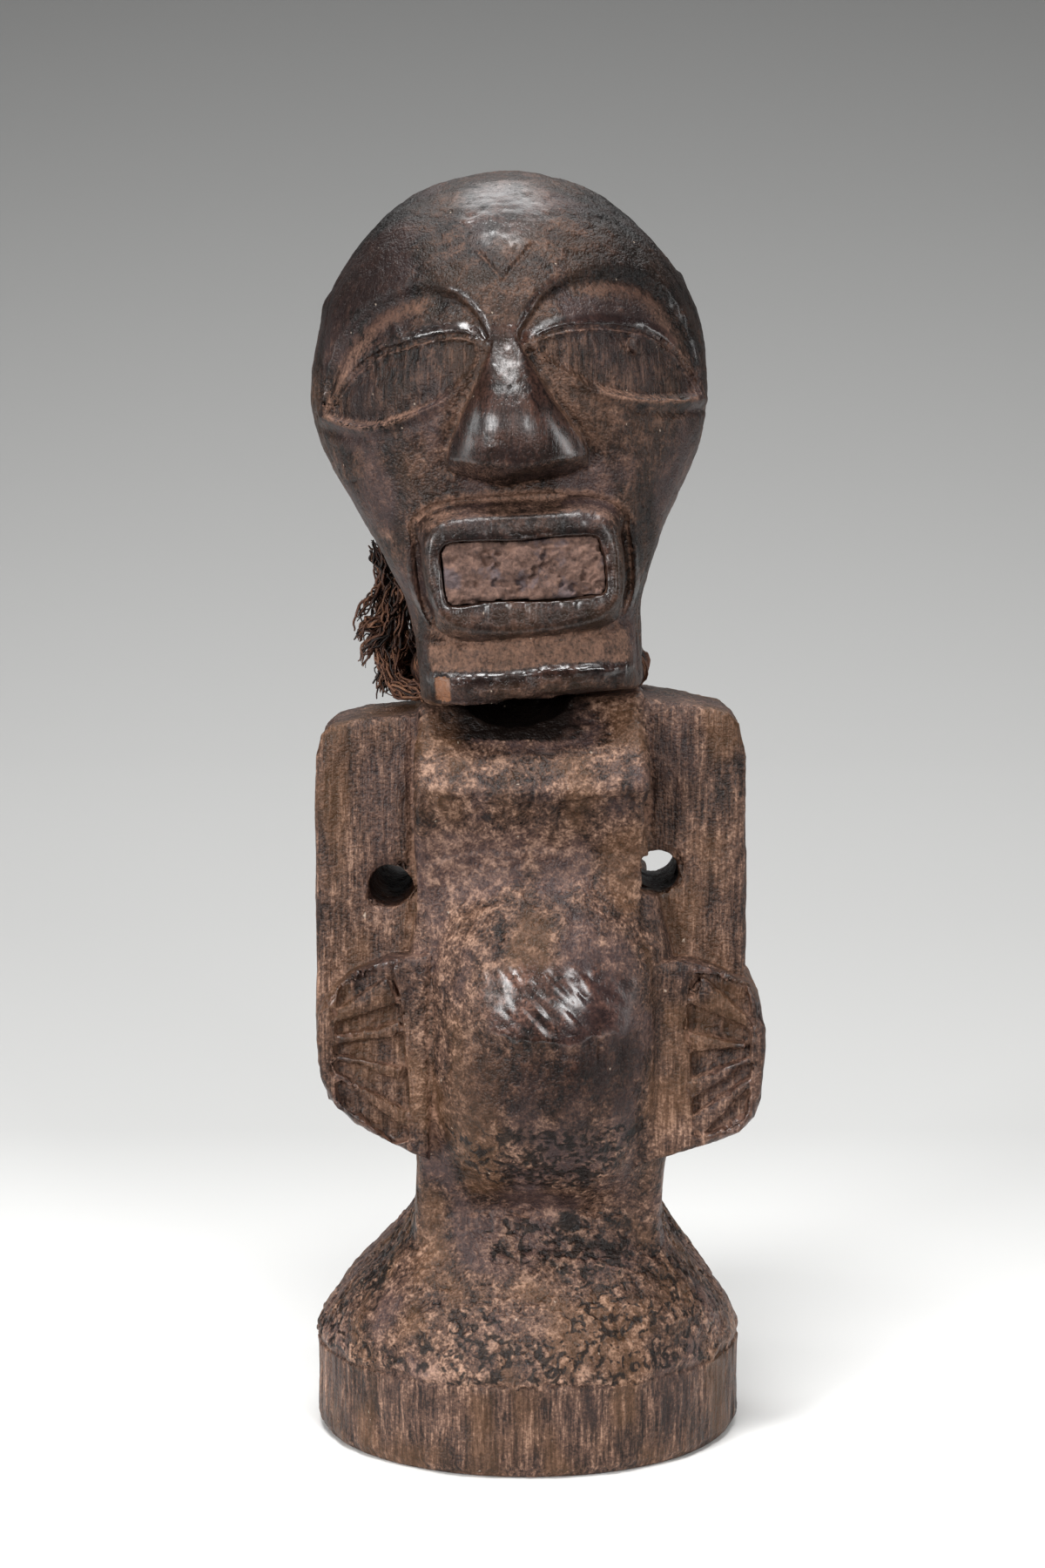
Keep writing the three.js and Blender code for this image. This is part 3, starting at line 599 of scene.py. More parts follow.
def figureForm(x, y, z):
    out = where(z < 52, baseForm, x, y, z)
    out = blendMin(out, where((z > 34) & (z < 68), waistForm, x, y, z), waist["join"])
    inTorso = (z > 42) & (z < 150) & (np.abs(x) < 34)
    out = blendMin(out, where(inTorso, torsoForm, x, y, z), torso["join"])
    inBelly = (z > 40) & (z < 122) & (np.abs(x - belly["x"]) < 32) & (y < 4)
    out = blendMin(out, where(inBelly, bellyForm, x, y, z), belly["join"])
    for name, sign in (("left", -1), ("right", 1)):
        beside = (x * sign > 12) & (z > 54) & (z < 150)
        slab = (shoulders[name], arm["front"], arm["back"], arm["edge"])
        out = blendMin(out, where(beside, lambda *p: slabForm(*p, *slab), x, y, z), arm["join"])
        beside = (x * sign > 12) & (z > 50) & (z < 102)
        out = blendMin(out, where(beside, lambda *p: handForm(*p, name), x, y, z), hand["join"])
    dx, dy = (x - neck["x"]) / neck["rx"], (y - neck["y"]) / neck["ry"]
    ends = np.maximum(neck["low"] - z, z - neck["high"])
    out = np.minimum(out, np.maximum((np.sqrt(dx**2 + dy**2) - 1) * neck["rx"], ends))
    out = np.minimum(out, where(z > 136, headForm, x, y, z))
    # cuts: under the chin, arm holes, down the back, and the groove that the neck ring fills
    size = np.sqrt(((x - scoop["x"]) / scoop["rx"]) ** 2 + ((y - scoop["y"]) / scoop["ry"]) ** 2
                   + ((z - scoop["z"]) / scoop["rz"]) ** 2)
    out = blendMax(out, (1 - size) * 7, scoop["edge"])
    for radius, (hx, hy, hz), (sx, sz) in holes:
        flat = np.hypot(x - hx - sx * (y - hy), z - hz - sz * (y - hy)) - radius
        through = np.where((y > hy - 8) & (y < 34), flat, 30)
        out = blendMax(out, -through, holeEdge)
    groove = np.maximum(np.hypot(x - spine["x"], y - spine["y"]) - spine["radius"],
                        np.maximum(spine["low"] - z, z - spine["high"]))
    out = blendMax(out, -groove, spine["edge"])
    turn = np.hypot((x - ring["x"]) / ring["rx"], (y - ring["y"]) / ring["ry"]) + 1e-6
    off = np.hypot(x - ring["x"], y - ring["y"]) * (1 - 1 / turn)
    thick, tall = ring["thick"] + ring["gap"], ring["tall"] + ring["gap"]
    around = (np.hypot(off / thick, (z - ring["z"]) / tall) - 1) * 4.8
    return blendMax(out, -around, ring["edge"])


# From form to mesh

def meshFromForm(form, low, high, pitch, margin):
    block = 4
    size = [int(math.ceil((b - a) / pitch / (2 * block))) * 2 * block for a, b in zip(low, high)]

    def centres(which, span):
        return [low[a] + (which[:, a] * span + (span - 1) / 2) * pitch for a in range(3)]

    def sample(places, most=600000):
        starts = range(0, len(places[0]), most)
        return np.concatenate([form(*(p[i:i + most].astype(np.float32) for p in places)) for i in starts])

    big = np.argwhere(np.ones([n // (2 * block) for n in size], bool))
    coarse = sample(centres(big, 2 * block)).reshape([n // (2 * block) for n in size])
    small = coarse.repeat(2, 0).repeat(2, 1).repeat(2, 2)
    reach = pitch * block * math.sqrt(3)
    which = np.argwhere(np.abs(small) < reach * 1.3 + margin)
    found = sample(centres(which, block))
    small[tuple(which.T)] = found
    values = small.astype(np.float32).repeat(block, 0).repeat(block, 1).repeat(block, 2)
    which = which[np.abs(found) < reach * 0.65 + margin]
    inner = np.argwhere(np.ones((block,) * 3, bool))
    places = (which[:, None, :] * block + inner[None]).reshape(-1, 3)
    values[tuple(places.T)] = sample([low[a] + places[:, a] * pitch for a in range(3)])
    inside = values < 0
    _, cols, deep = size
    ids, spots, quads = [], [], []
    for axis in range(3):
        first, last = [slice(None)] * 3, [slice(None)] * 3
        first[axis], last[axis] = slice(None, -1), slice(1, None)
        at = np.argwhere(inside[tuple(first)] != inside[tuple(last)])
        after = at.copy()
        after[:, axis] += 1
        a, b = values[tuple(at.T)], values[tuple(after.T)]
        spot = at.astype(np.float32)
        spot[:, axis] += a / (a - b)
        u, v = (axis + 1) % 3, (axis + 2) % 3
        around = np.repeat(at[:, None, :], 4, axis=1)
        around[:, [0, 3], u] -= 1
        around[:, [0, 1], v] -= 1
        cell = (around[..., 0] * cols + around[..., 1]) * deep + around[..., 2]
        cell[a > 0] = cell[a > 0][:, ::-1]
        ids.append(cell.ravel())
        spots.append(np.repeat(spot, 4, axis=0))
        quads.append(cell)
    _, back = np.unique(np.concatenate(ids), return_inverse=True)
    spots = np.concatenate(spots)
    share = np.bincount(back)
    points = np.stack([np.bincount(back, spots[:, a]) / share for a in range(3)], axis=1)
    faces = back.reshape(-1, 4)
    return points * pitch + np.array(low), faces


def slopeOf(form, p, width=0.12):
    middle = form(*p.T)
    aside = [form(*(p + width * way).T) - middle for way in np.eye(3, dtype=np.float32)]
    return middle, np.stack(aside, axis=1) / width


def settle(form, p, rounds=2):  # moves points onto the surface and gives their normals
    for _ in range(rounds):
        middle, steep = slopeOf(form, p)
        size = np.sum(steep**2, axis=1) + 1e-6
        move = np.clip(middle / size, -0.5, 0.5)
        p = p - (move[:, None] * steep).astype(np.float32)
    return p, steep / np.sqrt(np.sum(steep**2, axis=1, keepdims=True) + 1e-9)


def newMesh(name, points, faces):
    mesh = bpy.data.meshes.new(name)
    mesh.vertices.add(len(points))
    mesh.vertices.foreach_set("co", np.ascontiguousarray(points * 0.001, np.float32).ravel())
    mesh.loops.add(faces.size)
    mesh.loops.foreach_set("vertex_index", np.ascontiguousarray(faces, np.int32).ravel())
    mesh.polygons.add(len(faces))
    mesh.polygons.foreach_set("loop_start", np.arange(0, faces.size, faces.shape[1], dtype=np.int32))
    mesh.update(calc_edges=True)
    mesh.validate()
    return newObject(name, mesh)


def smoothed(mesh):
    mesh.polygons.foreach_set("use_smooth", np.ones(len(mesh.polygons), bool))
    return mesh


def shownMesh(piece):  # the piece's mesh as its modifiers leave it
    made = bpy.data.meshes.new_from_object(piece.evaluated_get(bpy.context.evaluated_depsgraph_get()))
    piece.modifiers.clear()
    return smoothed(made)


figureLook = {
    "pitch": 0.45, "triangles": 195000, "margin": 2.6, "low": (-45.13, -47.17, -2.11), "high": (48, 44, 244),
    "facet": 0.5, "dent": 0.42, "swell": 0.4, "grain": 0.2, "crown": 0.12, "crust": 0.24,
    "crack": 0.3, "plate": 0.42, "foot": 0.38, "stroke": 0.3, "tornStep": 0.5, "tear": 0.6, "ridgeTear": 0.9,
    "ridge": 0.5, "arc": 0.5, "armCut": 0.6, "chip": 1.1, "lips": 0.13, "strip": 0.14, "fresh": 0.5,
    "rim": 0.35, "specks": 0.0009,
}
marks = {  # where the worn places lie, in millimetres
    # the painted shade on the lower belly, where it turns downward, is centred at 73.5 mm
    "rim": 0.6, "shine": (5.5, 88.5), "shineReach": (17.5, 9.5), "tornEdge": 82.5, "stain": 73.5,
    "ridge": 126, "glow": (-0.6, 86.5), "glowReach": (9.5, 7), "fresh": -16.2, "arc": 115.4, "leftCut": -21.6,
    "rightCutHeights": [100, 112, 126, 143], "rightCut": [21.5, 21.7, 22.9, 20.9],
    "holes": [(-25.9, 108.6), (24.4, 110.6)],
}


def zonesOf(p, normals):  # how much each kind of surface shows at a place, 0 to 1; ridgeAt is a height
    place = x, y, z = p.T
    side, h = headSpace(x, z)
    inHead = (z > 143.6) & (h > -3)
    faceOn = inHead * step(-normals[:, 1], 0.1, 0.5)
    radius = np.hypot(x, y)
    wobble = grainAt(place, 5, 31)
    zone = {}
    rim = base["wall"] + marks["rim"] + 1.5 * grainAt(place, (6, 6, 0), 33)
    zone["wall"] = (1 - step(z, rim - 0.25, rim + 0.25)) * (radius > 37)
    zone["dome"] = step(z, rim - 0.2, rim + 0.2) * (1 - step(z, 45, 48))
    zone["rim"] = bump((z - rim - 0.8) / 1.6, 1) * (radius > 36)
    zone["limb"] = (z > 54) * (z < 146) * step(np.abs(x - 0.7), 21, 23.5) * (1 - inHead)
    # belly: a shine with slanting strokes, cut off below by a torn edge, and painted shade below it where the
    # belly turns downward
    onBelly = (y < -30) & (z < 118) & (z > 46)
    jag = marks["tornEdge"] + 1.6 * grainAt(place, (2.2, 0, 0), 35) - 0.9 * np.cos((x - 5) / 7)
    (shineX, shineZ), (wide, tall) = marks["shine"], marks["shineReach"]
    shine = 1 - step(np.hypot((x - shineX) / wide, (z - shineZ) / tall) + 0.35 * wobble, 0.3, 1.2)
    off = np.abs(x - 4.5)
    zone["shine"] = shine * step(z, jag - 0.2, jag + 0.3) * onBelly
    zone["torn"] = bump((z - jag + 3.0) / 1.0, 3.4) * (z < jag) * (1 - step(off, 14, 18)) * onBelly
    zone["step"] = (1 - step(z, jag - 0.3, jag + 0.2)) * step(z, 66, 74) * (1 - step(off, 15, 19)) * onBelly
    # painted shade on the lower belly, where it turns downward
    stain = bump((z - marks["stain"] - 2.5 * wobble) / 7.5, 1)
    zone["stain"] = stain * (1 - step(np.abs(x - 4), 13, 20)) * onBelly
    zone["low"] = onBelly * (1 - step(z, 64, 69))
    # chest, with a torn ridge across it
    between = (z < 146) & (np.abs(x - 0.5) < 23) & ~inHead
    ridge = marks["ridge"] - 1.5 * np.cos((x - 1) / 7.5) + 0.9 * grainAt(place, (2, 0, 0), 37)
    zone["ridgeAt"] = ridge
    zone["ridgeTear"] = between * (y < -26) * (z > 113) * bump((z - ridge + 2.2) / 2.6, 1) * (z < ridge + 0.3)
    zone["chest"] = 1.0 * ((y < -20) & (z > 92) & between)
    # head
    zone["head"] = inHead * 1.0
    zone["crown"] = inHead * step(h, 80, 90)
    (glowSide, glowUp), (wide, tall) = marks["glow"], marks["glowReach"]
    glow = bump(np.hypot((side - glowSide) / wide, (h - glowUp) / tall), 1) * inHead * (y < -8)
    onFrame = (readFace("frameEdge", side, h) < 0.6) * (readFace("frameHole", side, h) > -0.5)
    lips = inHead * onFrame * step(-y, -mouth["front"] - 1.6, -mouth["front"] - 0.5)
    polish = readFace("polish", side, h) * faceOn * step(-y, 6, 14)
    shiny = np.maximum(np.maximum(polish, 0.8 * glow), np.maximum(0.6 * lips, zone["shine"]))
    zone["lips"] = lips
    zone["polish"] = np.clip(shiny, 0, 1)
    zone["dust"] = readFace("dust", side, h) * faceOn * step(-y, 6, 14)
    zone["ball"] = readFace("rough", side, h) * faceOn * step(-y, 6, 12)
    zone["nose"] = inHead * (readFace("inNose", side, h) > 0) * (y < -20)
    fresh = bump((side - marks["fresh"] + 0.5 * wobble) / 1.5, 1)
    zone["fresh"] = inHead * fresh * (h < 3.4) * (h > -1.2) * (y < -30)
    zone["strip"] = inHead * (h < 3.8) * (h > -1.6) * (y < -20)
    # inside the arm holes, darkened later as painted shade
    inHoles = [np.hypot(x - hx, z - hz) < 6 for hx, hz in marks["holes"]]
    zone["inHole"] = 1.0 * (inHoles[0] | inHoles[1]) * (y > -19.6) * (y < 9)
    return zone, side, h


def wearOf(p, normals, zone):  # raises and lowers the surface, in millimetres
    place = x, y, z = p.T
    look = figureLook
    edge = np.clip((figureForm(*(p - 1.6 * normals).T) + 1.6) / 1.6, 0, 1)  # more than 0 on a sharp corner
    calm = 1 - 0.75 * np.maximum(zone["polish"], zone["lips"])
    # tool marks and the grain
    first, _, _ = cells(x / 9 + 0.3, y / 9, z / 10, 41)
    lift = look["facet"] * (0.35 - first) * calm * (0.6 + 0.4 * zone["dome"])
    first, _, own = cells(x / 4.1, y / 4.1, z / 6.3 + 0.4, 42)
    lift += look["dent"] * ((0.35 - first) * step(own, 0.3, 0.5)) * calm * (0.4 + 0.6 * (1 - zone["limb"]))
    lift += look["swell"] * noise(x / 12, y / 12, z / 12, 43) * calm
    streak = grainAt(place, (0.85, 0.85, 9), 45)
    grainy = zone["wall"] * 1.3 + zone["limb"] * 0.7 + zone["ball"] * 0.9 + zone["head"] * 0.25 + 0.15
    grainy = np.clip(grainy, 0, 1.3)
    lift += look["grain"] * streak * grainy * calm
    lift += look["crown"] * grainAt(place, (7, 2.2, 0.8), 47) * zone["crown"]
    crumbs = grainAt(place, 1.7, 49)
    crusty = zone["dome"] + zone["low"] + 0.8 * zone["chest"] + 0.5 * zone["head"] + 0.4 * zone["limb"]
    crusty = np.clip(crusty, 0, 1)
    lift += look["crust"] * crumbs * crusty * calm
    # plates of crust, split by cracks that follow a warped net
    wx, wy, wz = (1.1 * grainAt(place, 4, seed, 2) for seed in (51, 52, 53))
    first, second, own = cells(x / 6.2 + wx, y / 6.2 + wy, z / 7.5 + wz, 55)
    split = second - first
    crusted = np.clip(zone["dome"] * (z < 45) + zone["low"] * 0.8 + 0.25 * zone["chest"], 0, 1)
    crusted = crusted * step(noise(x / 15, y / 15, z / 15, 57), -0.5, 0.1)
    lift -= look["crack"] * bump(split, 0.085) * crusted
    lift += look["plate"] * (own - 0.5) * crusted * step(split, 0, 0.12)
    lift += look["foot"] * (zone["dome"] * (z < 24) * (1 - step(z, 19, 24)))
    # slanting strokes in the belly's shine, a torn step under it
    strokes = layered((x * 0.72 + z * 0.7) / 1.1, y / 5, (z * 0.72 - x * 0.7) / 7, 59, 2)
    lift += look["stroke"] * strokes * zone["shine"]
    lift -= look["tornStep"] * zone["step"]
    fibres = grainAt(place, (0.55, 3, 4.5), 61, 2)
    torn = zone["torn"] + zone["ridgeTear"]
    lift += look["tear"] * fibres * torn
    lift -= look["ridgeTear"] * zone["ridgeTear"] * step(grainAt(place, (3, 6, 5), 63, 2), -0.35, 0.2)
    lift += look["ridge"] * zone["chest"] * step(z, zone["ridgeAt"] - 0.4, zone["ridgeAt"] + 0.3) * (y < -26)
    # the belly's upper edge, and the cuts that part the arms from the chest
    under = marks["arc"] - 2 * ((x - 2) / 20) ** 2 + 0.5 * noise(x / 3, 0 * y, 0 * z, 73) - z
    under = step(under, -0.3, 0.5) * (1 - step(under, 4, 16)) * (np.abs(x - 1) < 20)
    lift += look["arc"] * zone["chest"] * under
    rightCut = np.interp(z, marks["rightCutHeights"], marks["rightCut"])
    cut = np.maximum(bump((x - marks["leftCut"]) / 0.7, 1), bump((x - rightCut) / 0.7, 1))
    lift -= look["armCut"] * cut * step(z, 96, 104) * (z < 143) * (y < -16)
    # knocks along the edges, and knife cuts on the mouth's frame and the chin
    knocks = step(grainAt(place, (2.6, 2.6, 3.4), 65), 0.08, 0.4)
    lift -= look["chip"] * knocks * step(edge, 0.12, 0.5) * np.where(zone["head"] > 0, 0.25, 1)
    cuts = grainAt(place, (0.6, 2, 8), 67, 2)
    lift += look["lips"] * cuts * zone["lips"] + look["strip"] * cuts * zone["strip"]
    lift -= look["fresh"] * zone["fresh"]
    lift += zone["rim"] * (look["rim"] + 0.4 * noise(x / 4, y / 4, z / 3, 69))
    lift = np.where(z < 1.2, np.minimum(lift, 0) * np.clip(z / 1.2, 0, 1), lift)
    shade = 0.16 * crumbs * crusty + 0.22 * (own - 0.5) * crusted + 0.12 * streak * grainy
    shade += 0.12 * strokes * zone["shine"] + 0.25 * fibres * torn
    return lift, shade, edge, crusted * bump(split, 0.07)


def wornPart(name, p, faces):  # one thinned piece of the figure, with what its finish reads at each point
    piece = newMesh(name, p, faces)
    thin = piece.modifiers.new("thin", "DECIMATE")
    thin.ratio = min(figureLook["triangles"] / (2 * len(faces)), 1)
    plain = piece.data = shownMesh(piece)
    plain.name = name
    p = np.empty(len(plain.vertices) * 3, np.float32)
    plain.vertices.foreach_get("co", p)
    p = p.reshape(-1, 3) * 1000
    _, normals = slopeOf(figureForm, p)
    normals = normals / np.sqrt(np.sum(normals**2, axis=1, keepdims=True) + 1e-9)
    place = x, y, z = p.T
    zone, side, h = zonesOf(p, normals)
    _, shade, edge, cracks = wearOf(p, normals, zone)
    near, wide = (np.clip(figureForm(*(p + reach * normals).T) / reach, 0, 1) for reach in (1.6, 6))
    recess = np.clip(1.15 - 0.6 * near - 0.5 * wide, 0, 1)
    ledge = 0.8 * step(normals[:, 2], 0.35, 0.9) * step(wide, 0.98, 0.6) * (z > 40) * (z < 62)
    # painted shade on the sides of the skull
    sideShade = zone["head"] * step(h, 54, 72) * step(np.abs(side + 0.6), 7, 24)
    upper = zone["chest"] * step(z, zone["ridgeAt"] - 1, zone["ridgeAt"] + 1)
    # painted shadow in the hollow under the chin
    scoopShadow = bump(np.hypot((x - scoop["x"]) / 12, (y - scoop["y"] - 3) / 15), 1)
    scoopShadow = scoopShadow * (z > 136) * (1 - zone["head"])
    # how light the wood is, with painted shade on the skull's sides and in recesses
    body = np.clip(1 - zone["head"] + 0.3 * zone["dome"], 0, 1.2)
    plainer = 0.6 * zone["limb"] + 0.5 * zone["wall"] + 0.35 * zone["dome"]
    grained = np.clip(zone["limb"] + zone["wall"] + 0.3 * zone["head"], 0, 1)
    tone = 0.26 + 0.15 * body + 0.16 * grainAt(place, 13, 81)
    tone += 0.27 * grainAt(place, (2.6, 2.6, 2.9), 83, 4) * (1 - plainer) + 0.05 * zone["dome"]
    tone += 0.2 * grainAt(place, (1.5, 1.5, 13), 84) * grained
    # painted shade: darker on the skull's sides and in recesses
    tone += shade - 0.1 * sideShade + 0.05 * zone["chest"] - 0.05 * (1 - near) + 0.08 * zone["rim"]
    # fine cracks that only darken the crust, and rare pale specks
    bx, by, bz = (0.9 * grainAt(place, 3.4, seed, 2) for seed in (87, 88, 89))
    first, second, _ = cells(x / 4.6 + bx, y / 4.6 + by, z / 5.6 + bz, 91)
    dried = np.clip(zone["low"] + 0.8 * zone["dome"] + 0.45 * upper + 0.25 * zone["head"], 0, 1)
    hair = bump(second - first, 0.09) * step(dried + grainAt(place, 14, 93, 2), 0.6, 1.0)
    speck = np.random.default_rng(5).random(len(x)) < figureLook["specks"]
    onEdges = step(edge, 0.2, 0.5) * (1 - zone["dome"] - 0.8 * zone["chest"])
    # painted shade under the belly and inside the arm holes, with darker torn places and a darker crown
    dark = 0.75 * zone["stain"] + 0.9 * zone["inHole"] + 0.4 * zone["torn"] + 0.3 * zone["crown"]
    layers = {
        "tone": tone,
        "warm": 0.5 + 0.6 * grainAt(place, (9, 9, 14), 85),
        "polish": zone["polish"] * (1 - 0.35 * (zone["lips"] > 0)) + 0.45 * onEdges + 0.1 * upper,
        "dust": np.maximum(zone["dust"], np.clip(0.6 * recess + ledge + 0.15 * zone["crown"], 0, 1)),
        "grain": grained - 0.2 * zone["limb"] + 0.7 * zone["ball"] + 0.6 * zone["nose"],
        "body": body,
        # darkens painted shade (under the belly, in the arm holes, on the skull's sides, and a painted shadow
        # under the chin) along with torn places and the crown
        "stain": dark + 0.8 * sideShade + 1.6 * scoopShadow,
        # the crack layer also carries the painted shadow under the chin
        "cracks": np.maximum(np.maximum(cracks, hair) * (1 - zone["polish"]), 1.5 * scoopShadow),
        "specks": speck * 1.0,
        "fresh": zone["fresh"],
    }
    for key, values in layers.items():
        made = plain.attributes.new(key, "FLOAT", "POINT")
        made.data.foreach_set("value", np.clip(values, 0, 1).astype(np.float32))
    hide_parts("figure")
    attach(piece, "root")
    say(f"{name}: {len(plain.polygons)} triangles")
    return piece


def makeFigure():
    look = figureLook
    points, faces = meshFromForm(figureForm, look["low"], look["high"], look["pitch"], look["margin"])
    say(f"form sampled, {len(points)} points")
    p, normals = settle(figureForm, points.astype(np.float32))
    zone, _, _ = zonesOf(p, normals)
    lift, *_ = wearOf(p, normals, zone)
    worn = p + lift[:, None] * normals
    worn[:, 2] = np.maximum(worn[:, 2], 0)
    say("surface worn")
    # two pieces, parted deep in the groove under the neck ring, so that each keeps the fine carving when
    # thinned to the set triangle count
    inHead = np.where(p[:, 2] > 140, headForm(*p.T) < 0.8, False)[faces].all(axis=1)
    parts = []
    for name, share in (("carved_head", inHead), ("carved_body", ~inHead)):
        used, found = np.unique(faces[share], return_inverse=True)
        parts.append(wornPart(name, worn[used], found.reshape(-1, 4)))
    return parts


figure = makeFigure()
say("figure made")


# Packed filling of the mouth

pasteLook = {
    "pitch": 0.3, "across": (-14.6, 16.3), "up": (14.2, 28), "front": -37.7, "lumps": 1.15, "pits": 1.3,
    "cracks": 0.25, "edgeFall": 0.7, "topFall": 0.8, "gap": 0.12, "sunk": 0.4, "thin": 0.15,
}


def makePaste():
    look = pasteLook
    outline = smoothLine(mouth["inner"], 4, True)
    u, v = np.meshgrid(*(np.arange(*look[way], look["pitch"]) for way in ("across", "up")), indexing="ij")
    edge = -outlineDistance(u, v, outline)
    lumps = layered(u / 2.6, v / 2.2, 0 * u, 71, 4) * look["lumps"]
    first, second, _ = cells(u / 2.3, v / 2.0, 0 * u, 73)
    pits = step(layered(u / 2.2, v / 1.8, 0 * u + 4, 75, 3), 0.25, 0.5) * look["pits"]
    depth = look["front"] - lumps + pits + look["cracks"] * bump(second - first, 0.1)
    ragged = 0.5 + 0.5 * noise(u / 2, v / 2, 0 * u, 77)
    depth += look["edgeFall"] * (1 - step(edge, 0.0, 1.0)) * ragged + look["topFall"] * step(v, 25.4, 27)
    # points by the hollow's edge sink to its floor, so that the filling keeps clear of the wood
    floor = mouth["floor"] - look["sunk"]
    inside = edge > look["gap"]
    depth = np.where(inside, depth, floor)
    x, z = fromHeadSpace(u, v)
    front = np.stack([x, depth, z], axis=-1).reshape(-1, 3)
    back = front.copy()
    back[:, 1] = floor + look["thin"]
    index = np.arange(u.size).reshape(u.shape)
    keep = inside[:-1, :-1] | inside[1:, :-1] | inside[1:, 1:] | inside[:-1, 1:]
    quads = np.stack([index[:-1, :-1], index[1:, :-1], index[1:, 1:], index[:-1, 1:]], axis=-1)[keep]
    pairs = np.concatenate([quads[:, [i, (i + 1) % 4]] for i in range(4)])
    known = {(int(a), int(b)) for a, b in pairs}
    a, b = np.array([(a, b) for a, b in known if (b, a) not in known]).T
    sides = np.stack([b, a, a + u.size, b + u.size], axis=-1)
    used, faces = np.unique(np.concatenate([quads, quads[:, ::-1] + u.size, sides]), return_inverse=True)
    piece = newMesh("packed_mouth", np.concatenate([front, back])[used], faces.reshape(-1, 4))
    smoothed(piece.data)
    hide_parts("mouth_paste")
    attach(piece, "root")
    return piece


paste = makePaste()
say("mouth filled")


# Nodes written as sums

class Wire:  # a node's socket, so that node maths reads as plain sums
    def __init__(self, tree, socket=None):
        self.tree, self.socket = tree, socket

    def node(self, kind, settings=None, inputs=None, output=0):
        made = self.tree.nodes.new(kind)
        for key, value in (settings or {}).items():
            if key == "stops":
                stops = made.color_ramp.elements
                stops[0].position, stops[0].color = value[0]
                stops[1].position, stops[1].color = value[-1]
                for place, colour in value[1:-1]:
                    stops.new(place).color = colour
            else:
                setattr(made, key, value)
        for key, value in (inputs or {}).items():
            if isinstance(value, Wire):
                self.tree.links.new(value.socket, made.inputs[key])
            else:
                made.inputs[key].default_value = value
        return Wire(self.tree, made.outputs[output])

    def maths(self, operation, *values, clamp=False):
        settings = {"operation": operation, "use_clamp": clamp}
        return self.node("ShaderNodeMath", settings, dict(enumerate(values)))

    def __add__(self, other):
        return self.maths("ADD", self, other)

    def __sub__(self, other):
        return self.maths("SUBTRACT", self, other)

    def __rsub__(self, other):
        return self.maths("SUBTRACT", other, self)

    def __mul__(self, other):
        return self.maths("MULTIPLY", self, other)

    def __pow__(self, other):
        return self.maths("POWER", self, other)

    __radd__, __rmul__ = __add__, __mul__

    def clamped(self):
        return self.maths("ADD", self, 0, clamp=True)

    def between(self, low, high):  # 0 at low, 1 at high, smooth between
        return self.node("ShaderNodeMapRange", {"interpolation_type": "SMOOTHSTEP"},
                         {"Value": self, "From Min": low, "From Max": high})

    def vectorMaths(self, operation, *values):
        return self.node("ShaderNodeVectorMath", {"operation": operation}, dict(enumerate(values)))

    def scaled(self, size):
        return self.node("ShaderNodeVectorMath", {"operation": "SCALE"}, {0: self, "Scale": size})

    def mixed(self, share, a, b, blend="MIX"):
        settings = {"data_type": "RGBA", "blend_type": blend}
        return self.node("ShaderNodeMix", settings, {0: share, 6: a, 7: b}, 2)


# Fibres: strands that follow guide lines

fibreLook = {
    "ring": {"strands": 190 / 4.25, "points": 110, "thickness": 0.42, "wave": 0.7, "turns": 5.0,
             "outward": 0.3, "shortest": 1.0, "seed": 7},
    "tuft": {"strands": 26.0, "points": 30, "thickness": 0.24, "wave": 1.5, "turns": 0.35,
             "outward": 0.6, "shortest": 0.72, "seed": 27},
    "ringSpread": 4.25, "ringSteps": 90,
    # each lock: points on its middle line, then how wide it spreads at each point
    "locks": [
        [[-17, 9, 148], [-22, 7, 147.5], [-25.2, 5, 151], [-26.2, 4, 157], [-27, 3.5, 163], [-28.3, 3, 169]],
        [[-25.5, 4, 165], [-27, 3, 159], [-28.3, 2, 153.5], [-30.6, 1, 151], [-32, 0, 147.6]],
        [[-24, 5, 160], [-26, 3, 152], [-26.6, 2, 147.5], [-28, 1, 144.5], [-28.3, 0, 141.7]],
        [[-27, 3, 163], [-29.3, 1, 161.4], [-31.5, 0, 158.4], [-33, -1, 154.5]],
        [[-26, 3, 156.5], [-29, 1.5, 156], [-31.6, 0.5, 154.8], [-32.7, 0, 152.3]],
        [[-27, 2, 151], [-25, -3, 144.6], [-20, -9, 143.2], [-14, -14, 143.1], [-9, -17, 143.4]],
        [[-27, 3, 163], [-28.4, 3, 168], [-30, 2.5, 171]],
        [[-19, 11, 147], [-24, 10, 150], [-27, 10, 156], [-28, 11, 163]],
        [[-18, 12, 147], [-23, 13, 148.5], [-27, 13, 147.5], [-29, 12, 143]],
        [[-22, 6, 146], [-24.4, 2, 145], [-25.4, 0, 143.4], [-23.5, -2, 142.4]],
    ],
    "spreads": [
        [3.8, 4.4, 4.2, 3.0, 2.0, 0.8], [1.6, 2.2, 2.0, 1.3, 0.4], [2.2, 2.5, 2.1, 1.2, 0.4],
        [0.35, 0.35, 0.3, 0.2], [1.4, 1.2, 0.8, 0.3], [2.2, 1.6, 1.1, 0.8, 0.4], [1.2, 0.8, 0.3],
        [3.0, 2.8, 2.0, 0.8], [2.4, 2.2, 1.6, 0.5], [2.4, 2.2, 1.6, 0.8],
    ],
}


def guideLines(name, lines, spreads, closed):
    data = bpy.data.curves.new(name, "CURVE")
    data.dimensions = "3D"
    for line, spread in zip(lines, spreads):
        spline = data.splines.new("POLY")
        spline.points.add(len(line) - 1)
        spline.use_cyclic_u = closed
        for point, place, reach in zip(spline.points, line, spread):
            point.co = (*(c * 0.001 for c in place), 1)
            point.radius = reach * 0.001
    return newObject(name, data)


